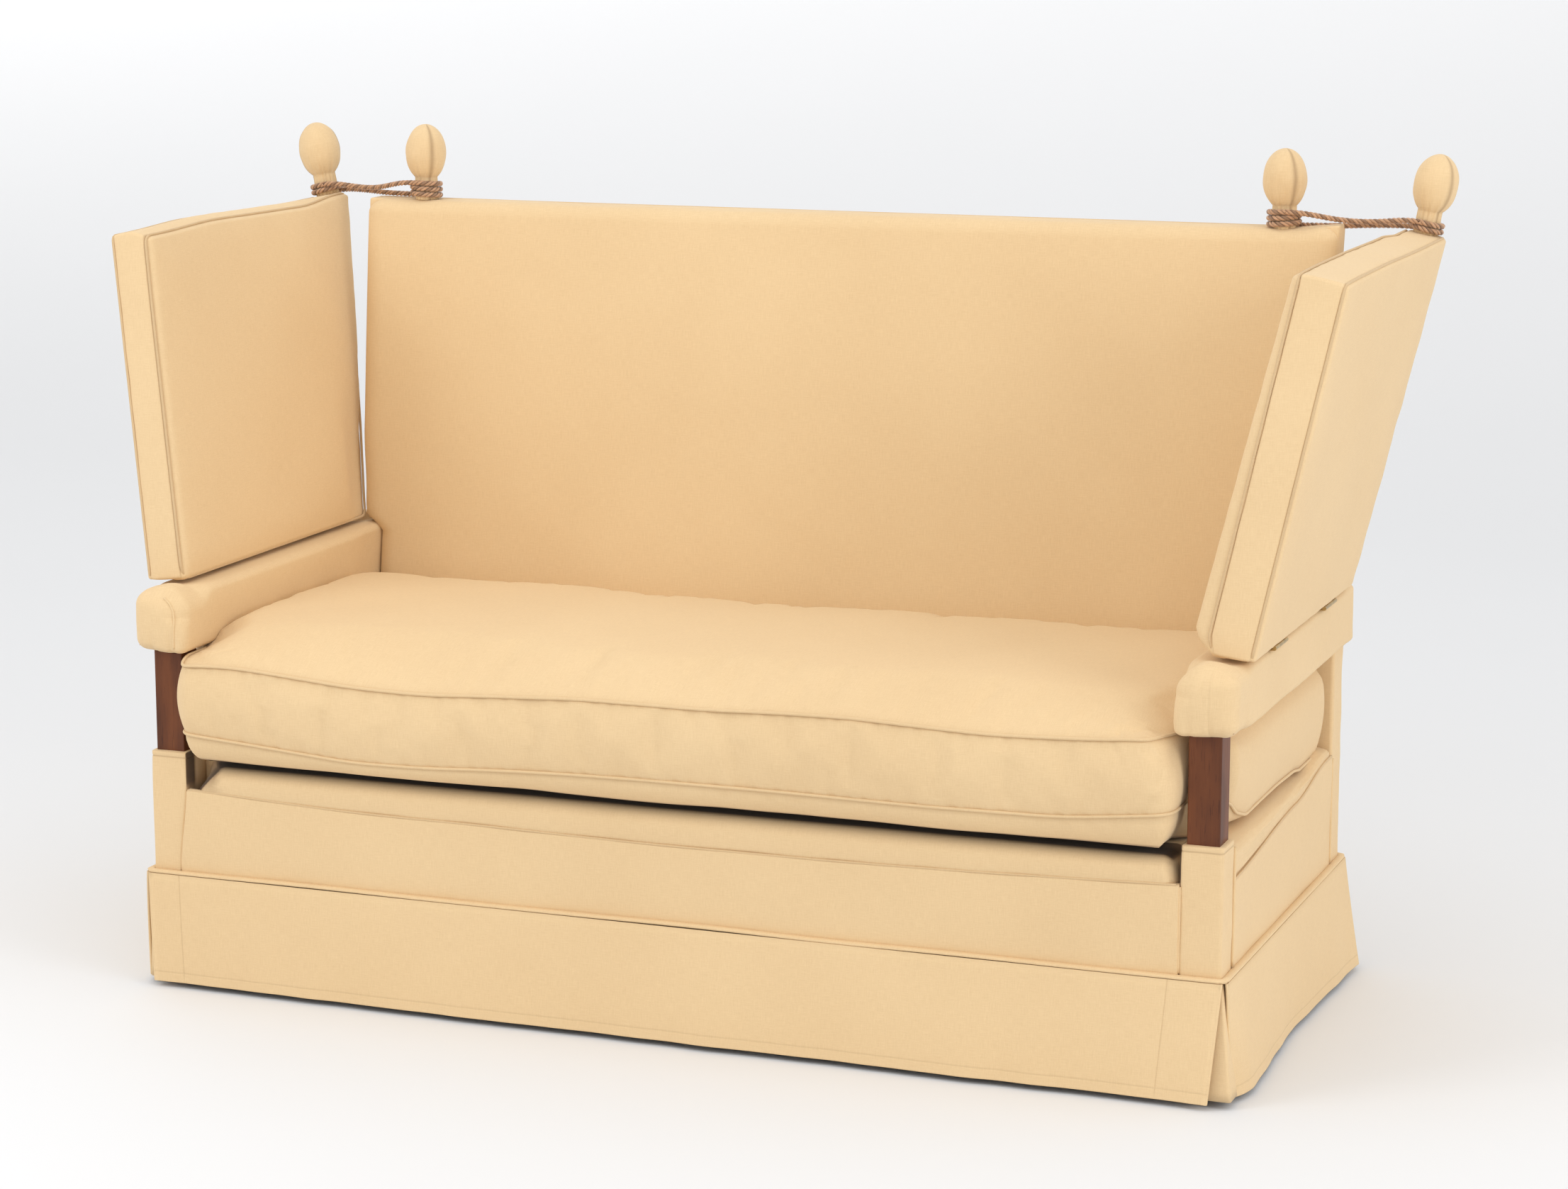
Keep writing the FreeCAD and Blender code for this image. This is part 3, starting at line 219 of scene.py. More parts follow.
def lattice(axes: Sequence[Array]) -> Surface:
    """Closed surface of a block whose grid lines stand at the given places on each axis.

    Args:
        axes: Rising places along x, y and z.

    Returns:
        The block's six sides, each point used once and every face outward.
    """
    counts = [len(each) for each in axes]
    cell = np.indices(counts).reshape(3, -1)
    last = np.array(counts)[:, None] - 1
    outside = ((cell == 0) | (cell == last)).any(axis=0)
    index = np.full(cell.shape[1], -1)
    index[outside] = np.arange(outside.sum())
    index = index.reshape(counts)
    kept = cell[:, outside]
    points = np.stack([axes[axis][kept[axis]] for axis in range(3)], axis=1)
    quads, cloth = [], []
    for axis in range(3):
        first, second = (axis + 1) % 3, (axis + 2) % 3
        a, b = np.meshgrid(axes[first], axes[second], indexing="ij")
        place = np.stack([a, b], axis=-1)
        for end in (0, -1):
            side = np.take(index, end, axis=axis)
            side = side.T if first > second else side
            ring = [np.s_[:-1, :-1], np.s_[1:, :-1], np.s_[1:, 1:], np.s_[:-1, 1:]]
            faces = np.stack([side[each].ravel() for each in ring], axis=1)
            where = np.stack([place[each].reshape(-1, 2) for each in ring], axis=1)
            order = slice(None) if end == -1 else slice(None, None, -1)
            quads.append(faces[:, order])
            cloth.append(where[:, order])
    return Surface(points, np.concatenate(quads), np.concatenate(cloth))


def rounded_block(
    half: Sequence[float],
    radius: Sequence[float],
    flat: Sequence[int],
    curve: int = 4,
    extra: Sequence[Iterable[float]] = ((), (), ()),
) -> Surface:
    """Block centred on the origin whose edges and corners are parts of an ellipsoid.

    What lies outside the inner block, smaller by the radius on every side, is made one radius long.

    Args:
        half: Half sizes along the three axes.
        radius: Radii of the rounding.
        flat: Steps between the roundings.
        curve: Steps in each rounding.
        extra: Further places for grid lines.

    Returns:
        The closed surface.
    """
    sides = zip(half, radius, flat, extra)
    block = lattice([grid_steps(size, bend, count, curve, more) for size, bend, count, more in sides])
    size, bend = np.array(half), np.array(radius)
    core = np.clip(block.points, bend - size, size - bend)
    away = (block.points - core) / bend
    away /= np.linalg.norm(away, axis=1, keepdims=True)
    return Surface(core + away * bend, block.quads, block.cloth)


def portion(points: Array, half: Sequence[float], axis: int) -> Array:
    """How far each point of a block lies along an axis, from nought to one."""
    return (points[:, axis] + half[axis]) / (2 * half[axis])


def unevenness(points: Array, length: float, height: float, seed: int) -> Array:
    """Gentle random relief: twelve sine waves in random directions.

    Args:
        points: Where it is wanted.
        length: Typical distance from crest to crest.
        height: Size of the relief.
        seed: Fixes the waves.

    Returns:
        One number for each point.
    """
    dice = np.random.default_rng(seed)
    ways = dice.normal(size=(12, points.shape[1]))
    ways /= np.linalg.norm(ways, axis=1, keepdims=True)
    pace = 2 * math.pi / (length * dice.uniform(0.7, 1.5, 12))
    start = dice.uniform(0, 2 * math.pi, 12)
    return height * np.sin(points @ (ways * pace[:, None]).T + start).sum(axis=1) / math.sqrt(24)


def along(path: Array) -> Array:
    """Distance from the path's start at each of its points."""
    return np.concatenate([[0.0], np.cumsum(np.linalg.norm(np.diff(path, axis=0), axis=1))])


def evened(path: Array, step: float) -> Array:
    """The path read off at equal distances.

    Args:
        path: Points in order.
        step: Wanted distance between the new points.

    Returns:
        New points, the first and last where they were.
    """
    run = along(path)
    count = max(2, int(round(run[-1] / step)) + 1)
    marks = np.linspace(0.0, run[-1], count)
    return np.stack([np.interp(marks, run, path[:, axis]) for axis in range(path.shape[1])], axis=1)


def frames(path: Array, closed: bool, upward: Optional[Array] = None) -> tuple[Array, Array]:
    """Two directions across a path at each point, which turn no more than the path does.

    Args:
        path: Points in order.
        closed: Whether the last point leads back to the first.
        upward: A direction that the second one stays close to, or None to carry the first along.

    Returns:
        The directions, each with one row to a point.
    """
    if closed:
        ahead = np.roll(path, -1, axis=0) - np.roll(path, 1, axis=0)
    else:
        ahead = np.gradient(path, axis=0)
    ahead /= np.linalg.norm(ahead, axis=1, keepdims=True)
    if upward is not None:
        across = np.cross(np.broadcast_to(upward, ahead.shape), ahead)
        across /= np.maximum(np.linalg.norm(across, axis=1, keepdims=True), 1e-9)
        return across, np.cross(ahead, across)
    first = np.cross(ahead[0], [0.0, 0.0, 1.0])
    if np.linalg.norm(first) < 0.1:
        first = np.cross(ahead[0], [0.0, 1.0, 0.0])
    carried = [first / np.linalg.norm(first)]
    for way in ahead[1:]:
        level = carried[-1] - way * (carried[-1] @ way)
        carried.append(level / np.linalg.norm(level))
    across = np.array(carried)
    return across, np.cross(ahead, across)


def ringed(points: Array, sides: int, run: Array, girth: float, closed: bool) -> Surface:
    """Faces over rings of points that follow each other.

    Args:
        points: The rings' points, ring after ring.
        sides: Points in each ring, an even number.
        run: Distance from the first ring at each ring, and once more at the end where they close.
        girth: Distance from point to point round a ring.
        closed: Whether the last ring leads back to the first; if not, both ends are closed by faces.

    Returns:
        The closed surface.
    """
    count = len(points) // sides
    one, other = np.meshgrid(np.arange(count if closed else count - 1), np.arange(sides), indexing="ij")
    after, beyond = (one + 1) % count, (other + 1) % sides
    here, there = one * sides, after * sides
    quads = np.stack([here + other, here + beyond, there + beyond, there + other], -1)
    u = np.stack([run[one], run[one], run[one + 1], run[one + 1]], -1)
    v = np.stack([other, other + 1, other + 1, other], -1) * girth
    quads, cloth = quads.reshape(-1, 4), np.stack([u, v], -1).reshape(-1, 4, 2)
    if not closed:
        strip = np.arange(sides // 2 - 1)
        cap = np.stack([strip, strip + 1, sides - 2 - strip, sides - 1 - strip], 1)
        ends = np.concatenate([cap[:, ::-1], cap + (count - 1) * sides])
        quads, cloth = np.concatenate([quads, ends]), np.concatenate([cloth, np.zeros((len(ends), 4, 2))])
    return Surface(points, quads, cloth)


def tube(
    path: Array,
    radius: Union[float, Array],
    sides: int = 8,
    closed: bool = False,
    upward: Optional[Array] = None,
    flatten: float = 1.0,
) -> Surface:
    """Round or oval bead carried along a path.

    Args:
        path: Points in order.
        radius: The bead's radius, one number or one to a point.
        sides: Points round the bead, an even number.
        closed: Whether the path is a loop.
        upward: Direction that the second direction across stays close to.
        flatten: Height of the bead as a share of its width.

    Returns:
        The bead, its ends closed by faces across them where the path is open.
    """
    count = len(path)
    across, beside = frames(path, closed, upward)
    turn = np.linspace(0.0, 2 * math.pi, sides, endpoint=False)
    reach = np.broadcast_to(np.asarray(radius, float), (count,))[:, None, None]
    cosine, sine = np.cos(turn)[None, :, None], np.sin(turn)[None, :, None]
    ring = cosine * across[:, None] + flatten * sine * beside[:, None]
    run = along(np.concatenate([path, path[:1]]) if closed else path)
    girth = 2 * math.pi * float(np.mean(radius)) / sides
    made = ringed((path[:, None] + reach * ring).reshape(-1, 3), sides, run, girth, closed)
    outward = np.einsum("ij,ij->i", np.cross(across, beside), np.gradient(path, axis=0)).mean()
    if outward < 0:
        made.quads, made.cloth = made.quads[:, ::-1], made.cloth[:, ::-1]
    return made


def rounded_loop(corners: Sequence[Sequence[float]], radius: float, step: float = 0.006) -> Array:
    """Closed outline in a plane with each corner an arc.

    Args:
        corners: The outline's corners in order, two numbers each.
        radius: Radius of every arc.
        step: Distance between the outline's points.

    Returns:
        Points along the outline at equal distances.
    """
    corner = np.array(corners, float)
    pieces = []
    for before, here, after in zip(np.roll(corner, 1, 0), corner, np.roll(corner, -1, 0)):
        back, on = before - here, after - here
        back, on = back / np.linalg.norm(back), on / np.linalg.norm(on)
        half = math.acos(float(np.clip(back @ on, -1, 1))) / 2
        centre = here + (back + on) / np.linalg.norm(back + on) * radius / math.sin(half)
        start, end = here + back * radius / math.tan(half), here + on * radius / math.tan(half)
        first, last = math.atan2(*(start - centre)[::-1]), math.atan2(*(end - centre)[::-1])
        swing = (last - first + math.pi) % (2 * math.pi) - math.pi
        angle = first + swing * np.linspace(0, 1, 7)
        pieces.append(centre + radius * np.stack([np.cos(angle), np.sin(angle)], 1))
    loop = np.concatenate(pieces)
    return evened(np.concatenate([loop, loop[:1]]), step)[:-1]


def revolved(profile: Array, sides: int, swell: Callable[[Array, Array], Array]) -> Surface:
    """Profile turned about the upright axis, its radius changed by a function of angle and height.

    Args:
        profile: Radius and height in rising order, two numbers each.
        sides: Points round the axis, an even number.
        swell: Takes angles and heights, and gives what is added to the radius.

    Returns:
        The closed form, with a small flat face at each end.
    """
    turn = np.linspace(0.0, 2 * math.pi, sides, endpoint=False)
    height = np.repeat(profile[:, 1], sides)
    angle = np.tile(turn, len(profile))
    radius = np.maximum(np.repeat(profile[:, 0], sides) + swell(angle, height), 1e-4)
    points = np.stack([radius * np.cos(angle), radius * np.sin(angle), height], 1)
    made = ringed(points, sides, along(profile), 2 * math.pi * float(profile[:, 0].max()) / sides, False)
    made.cloth = made.cloth[..., ::-1]
    return made


def smooth(share: Array) -> Array:
    """Zero below 0, one above 1, and three squares less two cubes between."""
    held = np.clip(share, 0.0, 1.0)
    return held * held * (3 - 2 * held)


def eased(
    x: Array, places: Sequence[float], heights: Sequence[float], reach: float = 0.035, count: int = 9
) -> Array:
    """Smooth line through given heights: straight runs averaged over a short stretch.

    Args:
        x: Where it is wanted.
        places: Where the heights stand, in rising order.
        heights: The heights.
        reach: Half the stretch that is averaged.
        count: Number of places averaged.

    Returns:
        The line's height at each place.
    """
    shifts = np.linspace(-reach, reach, count)
    return np.mean([np.interp(x + shift, places, heights) for shift in shifts], axis=0)


def ramp(x: Array, start: float, length: float) -> Array:
    """Zero up to a start, one from a length further on, and smooth between."""
    return smooth((x - start) / length)


def fall(x: Array, end: float, length: float) -> Array:
    """One until a length before the end, zero from the end on, and smooth between."""
    return smooth((end - x) / length)


def bell(x: Array, middle: float, width: float) -> Array:
    """One at the middle, falling off on both sides by the width."""
    return np.exp(-(((x - middle) / width) ** 2))


def crown(points: Array, half: Sequence[float], axes: tuple[int, int], rise: float) -> Array:
    """Fullness of a padded face: the rise times one less the fourth power of each share from its middle."""
    shares = [np.clip(np.abs(points[:, axis]) / half[axis], 0, 1) for axis in axes]
    return rise * (1 - shares[0] ** 4) * (1 - shares[1] ** 4)


# Finishes


def _operator(operation: str, flipped: bool = False) -> Callable:
    """Makes a method that adds one Math node to a signal's material.

    Args:
        operation: The node's operation.
        flipped: Whether the other value is the node's first one.

    Returns:
        The method.
    """

    def method(self: "Signal", *others: "Source") -> "Signal":
        """This and the other value through the node."""
        values = (self, *others)
        return self.tree.maths(operation, *(values[::-1] if flipped else values))

    return method


@dataclass(frozen=True)
class Signal:
    """One socket's value on its way through a material."""

    tree: "Shader"
    socket: bpy.types.NodeSocket

    __add__, __radd__ = _operator("ADD"), _operator("ADD", True)
    __sub__, __rsub__ = _operator("SUBTRACT"), _operator("SUBTRACT", True)
    __mul__, __rmul__ = _operator("MULTIPLY"), _operator("MULTIPLY", True)
    __gt__ = _operator("GREATER_THAN")
    __abs__ = _operator("ABSOLUTE")
    sine = _operator("SINE")
    power = _operator("POWER")

    def held(self) -> "Signal":
        """Itself, kept from 0 to 1."""
        return self.tree.maths("MINIMUM", self.tree.maths("MAXIMUM", self, 0.0), 1.0)


Source = Union[Signal, float, Sequence[float]]


class Shader:
    """One material and the nodes that make it."""

    def __init__(self, name: str) -> None:
        """Starts an empty material.

        Args:
            name: The material's name.
        """
        self.material = bpy.data.materials.new(name)
        self.material.use_nodes = True
        self.nodes = self.material.node_tree.nodes
        self.links = self.material.node_tree.links
        self.nodes.clear()

    def node(self, kind: str, inputs: dict, output: Union[int, str] = 0, **settings) -> Signal:
        """Adds one node.

        Args:
            kind: The node's type.
            inputs: Socket name or number to the value or signal it takes.
            output: Which of its outputs is returned.
            settings: The node's own settings, which are set first.

        Returns:
            The chosen output.
        """
        made = self.nodes.new(kind)
        for setting, value in settings.items():
            setattr(made, setting, value)
        for key, value in inputs.items():
            if isinstance(value, Signal):
                self.links.new(value.socket, made.inputs[key])
            else:
                made.inputs[key].default_value = value
        return Signal(self, made.outputs[output])

    def maths(self, operation: str, *values: Source) -> Signal:
        """Adds one Math node."""
        return self.node("ShaderNodeMath", dict(enumerate(values)), operation=operation)

    def blend(self, share: Source, low: Source, high: Source, how: str = "MIX") -> Signal:
        """Mixes two colours.

        Args:
            share: How much of the second, from 0 to 1.
            low: First colour.
            high: Second colour.
            how: The blend's type.

        Returns:
            The mixed colour.
        """
        tone = {0: share, 6: _opaque(low), 7: _opaque(high)}
        return self.node("ShaderNodeMix", tone, 2, data_type="RGBA", blend_type=how)

    def place(self) -> Signal:
        """The piece's own coordinates, in metres."""
        return self.node("ShaderNodeTexCoord", {}, "Object")

    def parts(self, vector: Signal) -> tuple[Signal, Signal, Signal]:
        """The three numbers of a vector."""
        split = self.node("ShaderNodeSeparateXYZ", {0: vector})
        outputs = split.socket.node.outputs
        return Signal(self, outputs[0]), Signal(self, outputs[1]), Signal(self, outputs[2])

    def vector(self, x: Source, y: Source, z: Source = 0.0) -> Signal:
        """A vector of three numbers."""
        return self.node("ShaderNodeCombineXYZ", {0: x, 1: y, 2: z})

    def scaled(self, vector: Signal, by: Sequence[float]) -> Signal:
        """A vector times three numbers."""
        return self.node("ShaderNodeVectorMath", {0: vector, 1: tuple(by)}, operation="MULTIPLY")

    def noise(self, where: Signal, scale: float, detail: float = 2.0, roughness: float = 0.5) -> Signal:
        """Cloudy noise from 0 to 1 at a place."""
        sockets = {"Vector": where, "Scale": scale, "Detail": detail, "Roughness": roughness}
        return self.node("ShaderNodeTexNoise", sockets)

    def attribute(self, name: str) -> Signal:
        """A number kept on the piece's points."""
        return self.node("ShaderNodeAttribute", {}, "Fac", attribute_name=name, attribute_type="GEOMETRY")

    def bump(self, height: Signal, distance: float, strength: float = 1.0) -> Signal:
        """Normal of a relief.

        Args:
            height: The relief, from 0 to 1.
            distance: Its real height in metres.
            strength: How much of it shows.

        Returns:
            The bent normal.
        """
        return self.node("ShaderNodeBump", {"Height": height, "Distance": distance, "Strength": strength})

    def finished(self, **sockets: Source) -> bpy.types.Material:
        """Closes the material with its surface shader.

        Args:
            sockets: Values or signals of the shader, with underscores for the spaces in their names.

        Returns:
            The material.
        """
        inputs = {name.replace("_", " "): value for name, value in sockets.items()}
        surface = self.node("ShaderNodeBsdfPrincipled", inputs)
        out = self.nodes.new("ShaderNodeOutputMaterial")
        self.links.new(surface.socket, out.inputs["Surface"])
        return self.material


def _opaque(colour: Source) -> Source:
    """A colour with its fourth number, or a signal as it is."""
    return colour if isinstance(colour, (Signal, float)) else (*colour, 1.0)[:4]


@dataclass(frozen=True)
class Upholstery:
    """Closely woven pale gold cloth."""

    name: str = "pale_gold_cloth"
    light: Triple = (0.815, 0.605, 0.348)
    deep: Triple = (0.705, 0.498, 0.272)
    # Painted shade: a brown one for seams and gaps, and a near black one for the deepest gaps.
    painted_shade: Triple = (0.34, 0.21, 0.11)
    painted_deep_shade: Triple = (0.045, 0.022, 0.010)
    yarn: float = 0.0011

    def made(self) -> bpy.types.Material:
        """Builds the cloth: a plain weave laid on each face by its direction, slubs, and painted shade along
        seams and in gaps and hollows.

        Returns:
            The material.
        """
        shader = Shader(self.name)
        place = shader.place()
        x, y, z = shader.parts(place)
        facing = shader.node("ShaderNodeTexCoord", {}, "Normal")
        nx, ny, nz = (abs(each) for each in shader.parts(facing))
        to_side = (nx > ny) * (nx > nz)
        to_top = (nz > nx) * (nz > ny)
        warp = x + to_side * (y - x)
        weft = z + to_top * (y - z)
        over = (warp * (math.pi / self.yarn)).sine()
        under = (weft * (math.pi / self.yarn)).sine()
        on_top = over * under > 0.0
        weave = abs(over) * on_top + abs(under) * (1.0 - on_top)
        cloudy = shader.noise(place, 3.5, 3.0)
        slub_across = shader.noise(shader.vector(warp * 60.0, weft * 1100.0), 1.0, 2.0)
        slub_along = shader.noise(shader.vector(warp * 1100.0, weft * 60.0), 1.0, 2.0)
        fleck = shader.noise(place, 420.0, 2.0)
        tone = 0.5 + (cloudy - 0.5) * 0.7 + (slub_across + slub_along - 1.0) * 0.9 + (weave - 0.6) * 0.25
        tone = tone + (fleck - 0.5) * 0.35
        colour = shader.blend(tone.held(), self.deep, self.light)
        # Painted shade: the seam marks darken the cloth towards the brown shade, and marks above one towards
        # the near black one.
        seam = shader.attribute("seam")
        colour = shader.blend((seam * 0.75).held(), colour, self.painted_shade)
        colour = shader.blend((seam * 1.4 - 1.4).held(), colour, self.painted_deep_shade)
        rough = 0.82 + (slub_across - 0.5) * 0.12
        relief = weave * 0.7 + slub_across * 0.5 + slub_along * 0.5
        return shader.finished(
            Base_Color=colour,
            Roughness=rough.held(),
            Normal=shader.bump(relief, 0.00018, 0.55),
            Sheen_Weight=0.18,
            Sheen_Roughness=0.5,
            Sheen_Tint=(1.0, 0.93, 0.8, 1.0),
            Specular_IOR_Level=0.25,
        )


@dataclass(frozen=True)
class LiningCloth:
    """Thin black cloth under the frame."""

    name: str = "black_lining_cloth"

    def made(self) -> bpy.types.Material:
        """Builds the lining.

        Returns:
            The material.
        """
        shader = Shader(self.name)
        place = shader.place()
        x, y, _ = shader.parts(place)
        pitch = math.pi / 0.0016
        weave = abs((x * pitch).sine()) * abs((y * pitch).sine())
        cloudy = shader.noise(place, 9.0, 3.0)
        tone = (weave * 0.5 + cloudy * 0.6).held()
        colour = shader.blend(tone, (0.012, 0.011, 0.010), (0.045, 0.042, 0.038))
        return shader.finished(Base_Color=colour, Roughness=0.95, Normal=shader.bump(weave, 0.0002, 0.5))


@dataclass(frozen=True)
class Timber:
    """Wood with its grain along one axis."""

    name: str
    dark: Triple
    light: Triple
    polish: float
    grain: Triple = (90.0, 90.0, 4.0)

    def made(self) -> bpy.types.Material:
        """Builds the wood: long streaks, growth bands bent by slow noise, and fine open pores.

        Returns:
            The material.
        """
        shader = Shader(self.name)
        place = shader.place()
        drift = shader.noise(place, 6.0, 2.0)
        streak = shader.noise(shader.scaled(place, self.grain), 1.0, 4.0, 0.6)
        pores = shader.noise(shader.scaled(place, [each * 7.0 for each in self.grain]), 1.0, 2.0)
        x, y, z = shader.parts(shader.scaled(place, self.grain))
        bands = ((x + y) * 0.9 + z * 0.6 + drift * 14.0).sine() * 0.5 + 0.5
        tone = (streak * 0.75 + bands * 0.3 - (pores > 0.63) * 0.25).held()
        colour = shader.blend(tone, self.dark, self.light)
        rough = 0.62 - self.polish * 0.15 + (pores - 0.5) * 0.15
        return shader.finished(
            Base_Color=colour,
            Roughness=rough.held(),
            Specular_IOR_Level=0.3,
            Coat_Weight=self.polish * 0.12,
            Coat_Roughness=0.25,
            Normal=shader.bump(streak * 0.6 + pores * 0.4, 0.00025, 0.35),
        )


@dataclass(frozen=True)
class RopeYarn:
    """Twisted copper and tan cord."""

    name: str = "copper_tan_cord"
    dark: Triple = (0.27, 0.118, 0.055)
    light: Triple = (0.84, 0.51, 0.29)

    def made(self) -> bpy.types.Material:
        """Builds the yarn: fine threads that wind round each ply, lighter and darker by turns, and painted
        shade between the plies.

        Returns:
            The material.
        """
        shader = Shader(self.name)
        run, girth, _ = shader.parts(shader.node("ShaderNodeUVMap", {}, uv_map="cloth"))
        threads = ((girth * 5200.0 + run * 1700.0).sine() * 0.5 + 0.5).power(0.7)
        patch = shader.noise(shader.vector(run * 140.0, girth * 260.0), 1.0, 3.0)
        sparkle = shader.noise(shader.vector(run * 900.0, girth * 2400.0), 1.0, 2.0)
        tone = (threads * 0.35 + patch * 0.55 + sparkle * 0.25 - 0.08).held()
        colour = shader.blend(tone, self.dark, self.light)
        # Painted shade: the seam marks darken the valleys between the plies towards near black, and whole plies
        # by the ply shades.
        valley = shader.attribute("seam")
        colour = shader.blend((valley * 0.9).held(), colour, (0.045, 0.018, 0.010))
        return shader.finished(
            Base_Color=colour,
            Roughness=0.42,
            Normal=shader.bump(threads + sparkle * 0.4, 0.00025, 0.8),
            Sheen_Weight=0.3,
            Sheen_Roughness=0.4,
        )


@dataclass(frozen=True)
class WornMetal:
    """Plain metal with faint brushing and tarnish."""

    name: str
    bright: Triple
    tarnish: Triple
    roughness: float
    metallic: float = 1.0

    def made(self) -> bpy.types.Material:
        """Builds the metal.

        Returns:
            The material.
        """
        shader = Shader(self.name)
        place = shader.place()
        patch = shader.noise(place, 55.0, 4.0, 0.6)
        brushing = shader.noise(shader.scaled(place, (2500.0, 120.0, 2500.0)), 1.0, 2.0)
        colour = shader.blend((patch * 1.6 - 0.35).held(), self.tarnish, self.bright)
        rough = self.roughness + (patch - 0.5) * 0.25 + (brushing - 0.5) * 0.1
        return shader.finished(
            Base_Color=colour,
            Metallic=self.metallic,
            Roughness=rough.held(),
            Normal=shader.bump(brushing, 0.00004, 0.4),
        )


class Finishes:
    """Every material of the sofa, made once."""

    def __init__(self) -> None:
        """Makes them all."""
        self.cloth = Upholstery().made()
        self.lining = LiningCloth().made()
        self.mahogany = Timber("mahogany", (0.040, 0.009, 0.003), (0.200, 0.058, 0.014), 0.7).made()
        self.beech = Timber("beech", (0.36, 0.22, 0.12), (0.62, 0.44, 0.27), 0.1).made()
        self.cord = RopeYarn().made()
        self.brass = WornMetal("hinge_brass", (0.78, 0.58, 0.26), (0.30, 0.20, 0.09), 0.35).made()
        self.iron = WornMetal("eye_iron", (0.09, 0.08, 0.075), (0.03, 0.026, 0.024), 0.6, 0.8).made()
        self.spring = WornMetal("spring_steel", (0.45, 0.45, 0.46), (0.20, 0.19, 0.18), 0.42).made()
        self.glide = WornMetal("glide_steel", (0.62, 0.62, 0.63), (0.35, 0.34, 0.33), 0.35).made()


# Making pieces


def piece(name: str, surface: Surface, finish: bpy.types.Material) -> bpy.types.Object:
    """Puts a surface into the scene.

    Args:
        name: The piece's name.
        surface: Its shape.
        finish: Its material.

    Returns:
        The new object, at the origin.
    """
    mesh = bpy.data.meshes.new(name)
    mesh.vertices.add(len(surface.points))
    mesh.vertices.foreach_set("co", surface.points.astype(np.float32).ravel())
    count = len(surface.quads)
    mesh.loops.add(count * 4)
    mesh.loops.foreach_set("vertex_index", surface.quads.astype(np.int32).ravel())
    mesh.polygons.add(count)
    mesh.polygons.foreach_set("loop_start", np.arange(0, count * 4, 4, dtype=np.int32))
    mesh.polygons.foreach_set("use_smooth", np.ones(count, bool))
    mesh.update(calc_edges=True)
    layer = mesh.uv_layers.new(name="cloth")
    layer.data.foreach_set("uv", surface.cloth.astype(np.float32).ravel())
    marks = surface.seam if surface.seam is not None else np.zeros(len(surface.points))
    mesh.attributes.new("seam", "FLOAT", "POINT").data.foreach_set("value", marks.astype(np.float32))
    mesh.materials.append(finish)
    made = in_scene(name, mesh)
    log.info("%s: %d points, %d faces", name, len(surface.points), count)
    return made


def on_body(made: bpy.types.Object, body: str, node: str = "") -> None:
    """Lets a piece move with a body and hides the CAD node that it stands for.

    Args:
        made: The piece.
        body: The body that it moves with.
        node: The CAD node that it stands for, if there is one.
    """
    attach(made, body)
    if node:
        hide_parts(node)


def covered(
    name: str, surface: Surface, finishes: Finishes, body: str, node: str = ""
) -> bpy.types.Object:
    """Makes one piece of the upholstery cloth.

    Args:
        name: The piece's name.
        surface: Its shape.
        finishes: The sofa's materials.
        body, node: As in on_body.

    Returns:
        The piece.
    """
    made = piece(name, surface, finishes.cloth)
    on_body(made, body, node)
    return made


# Cords


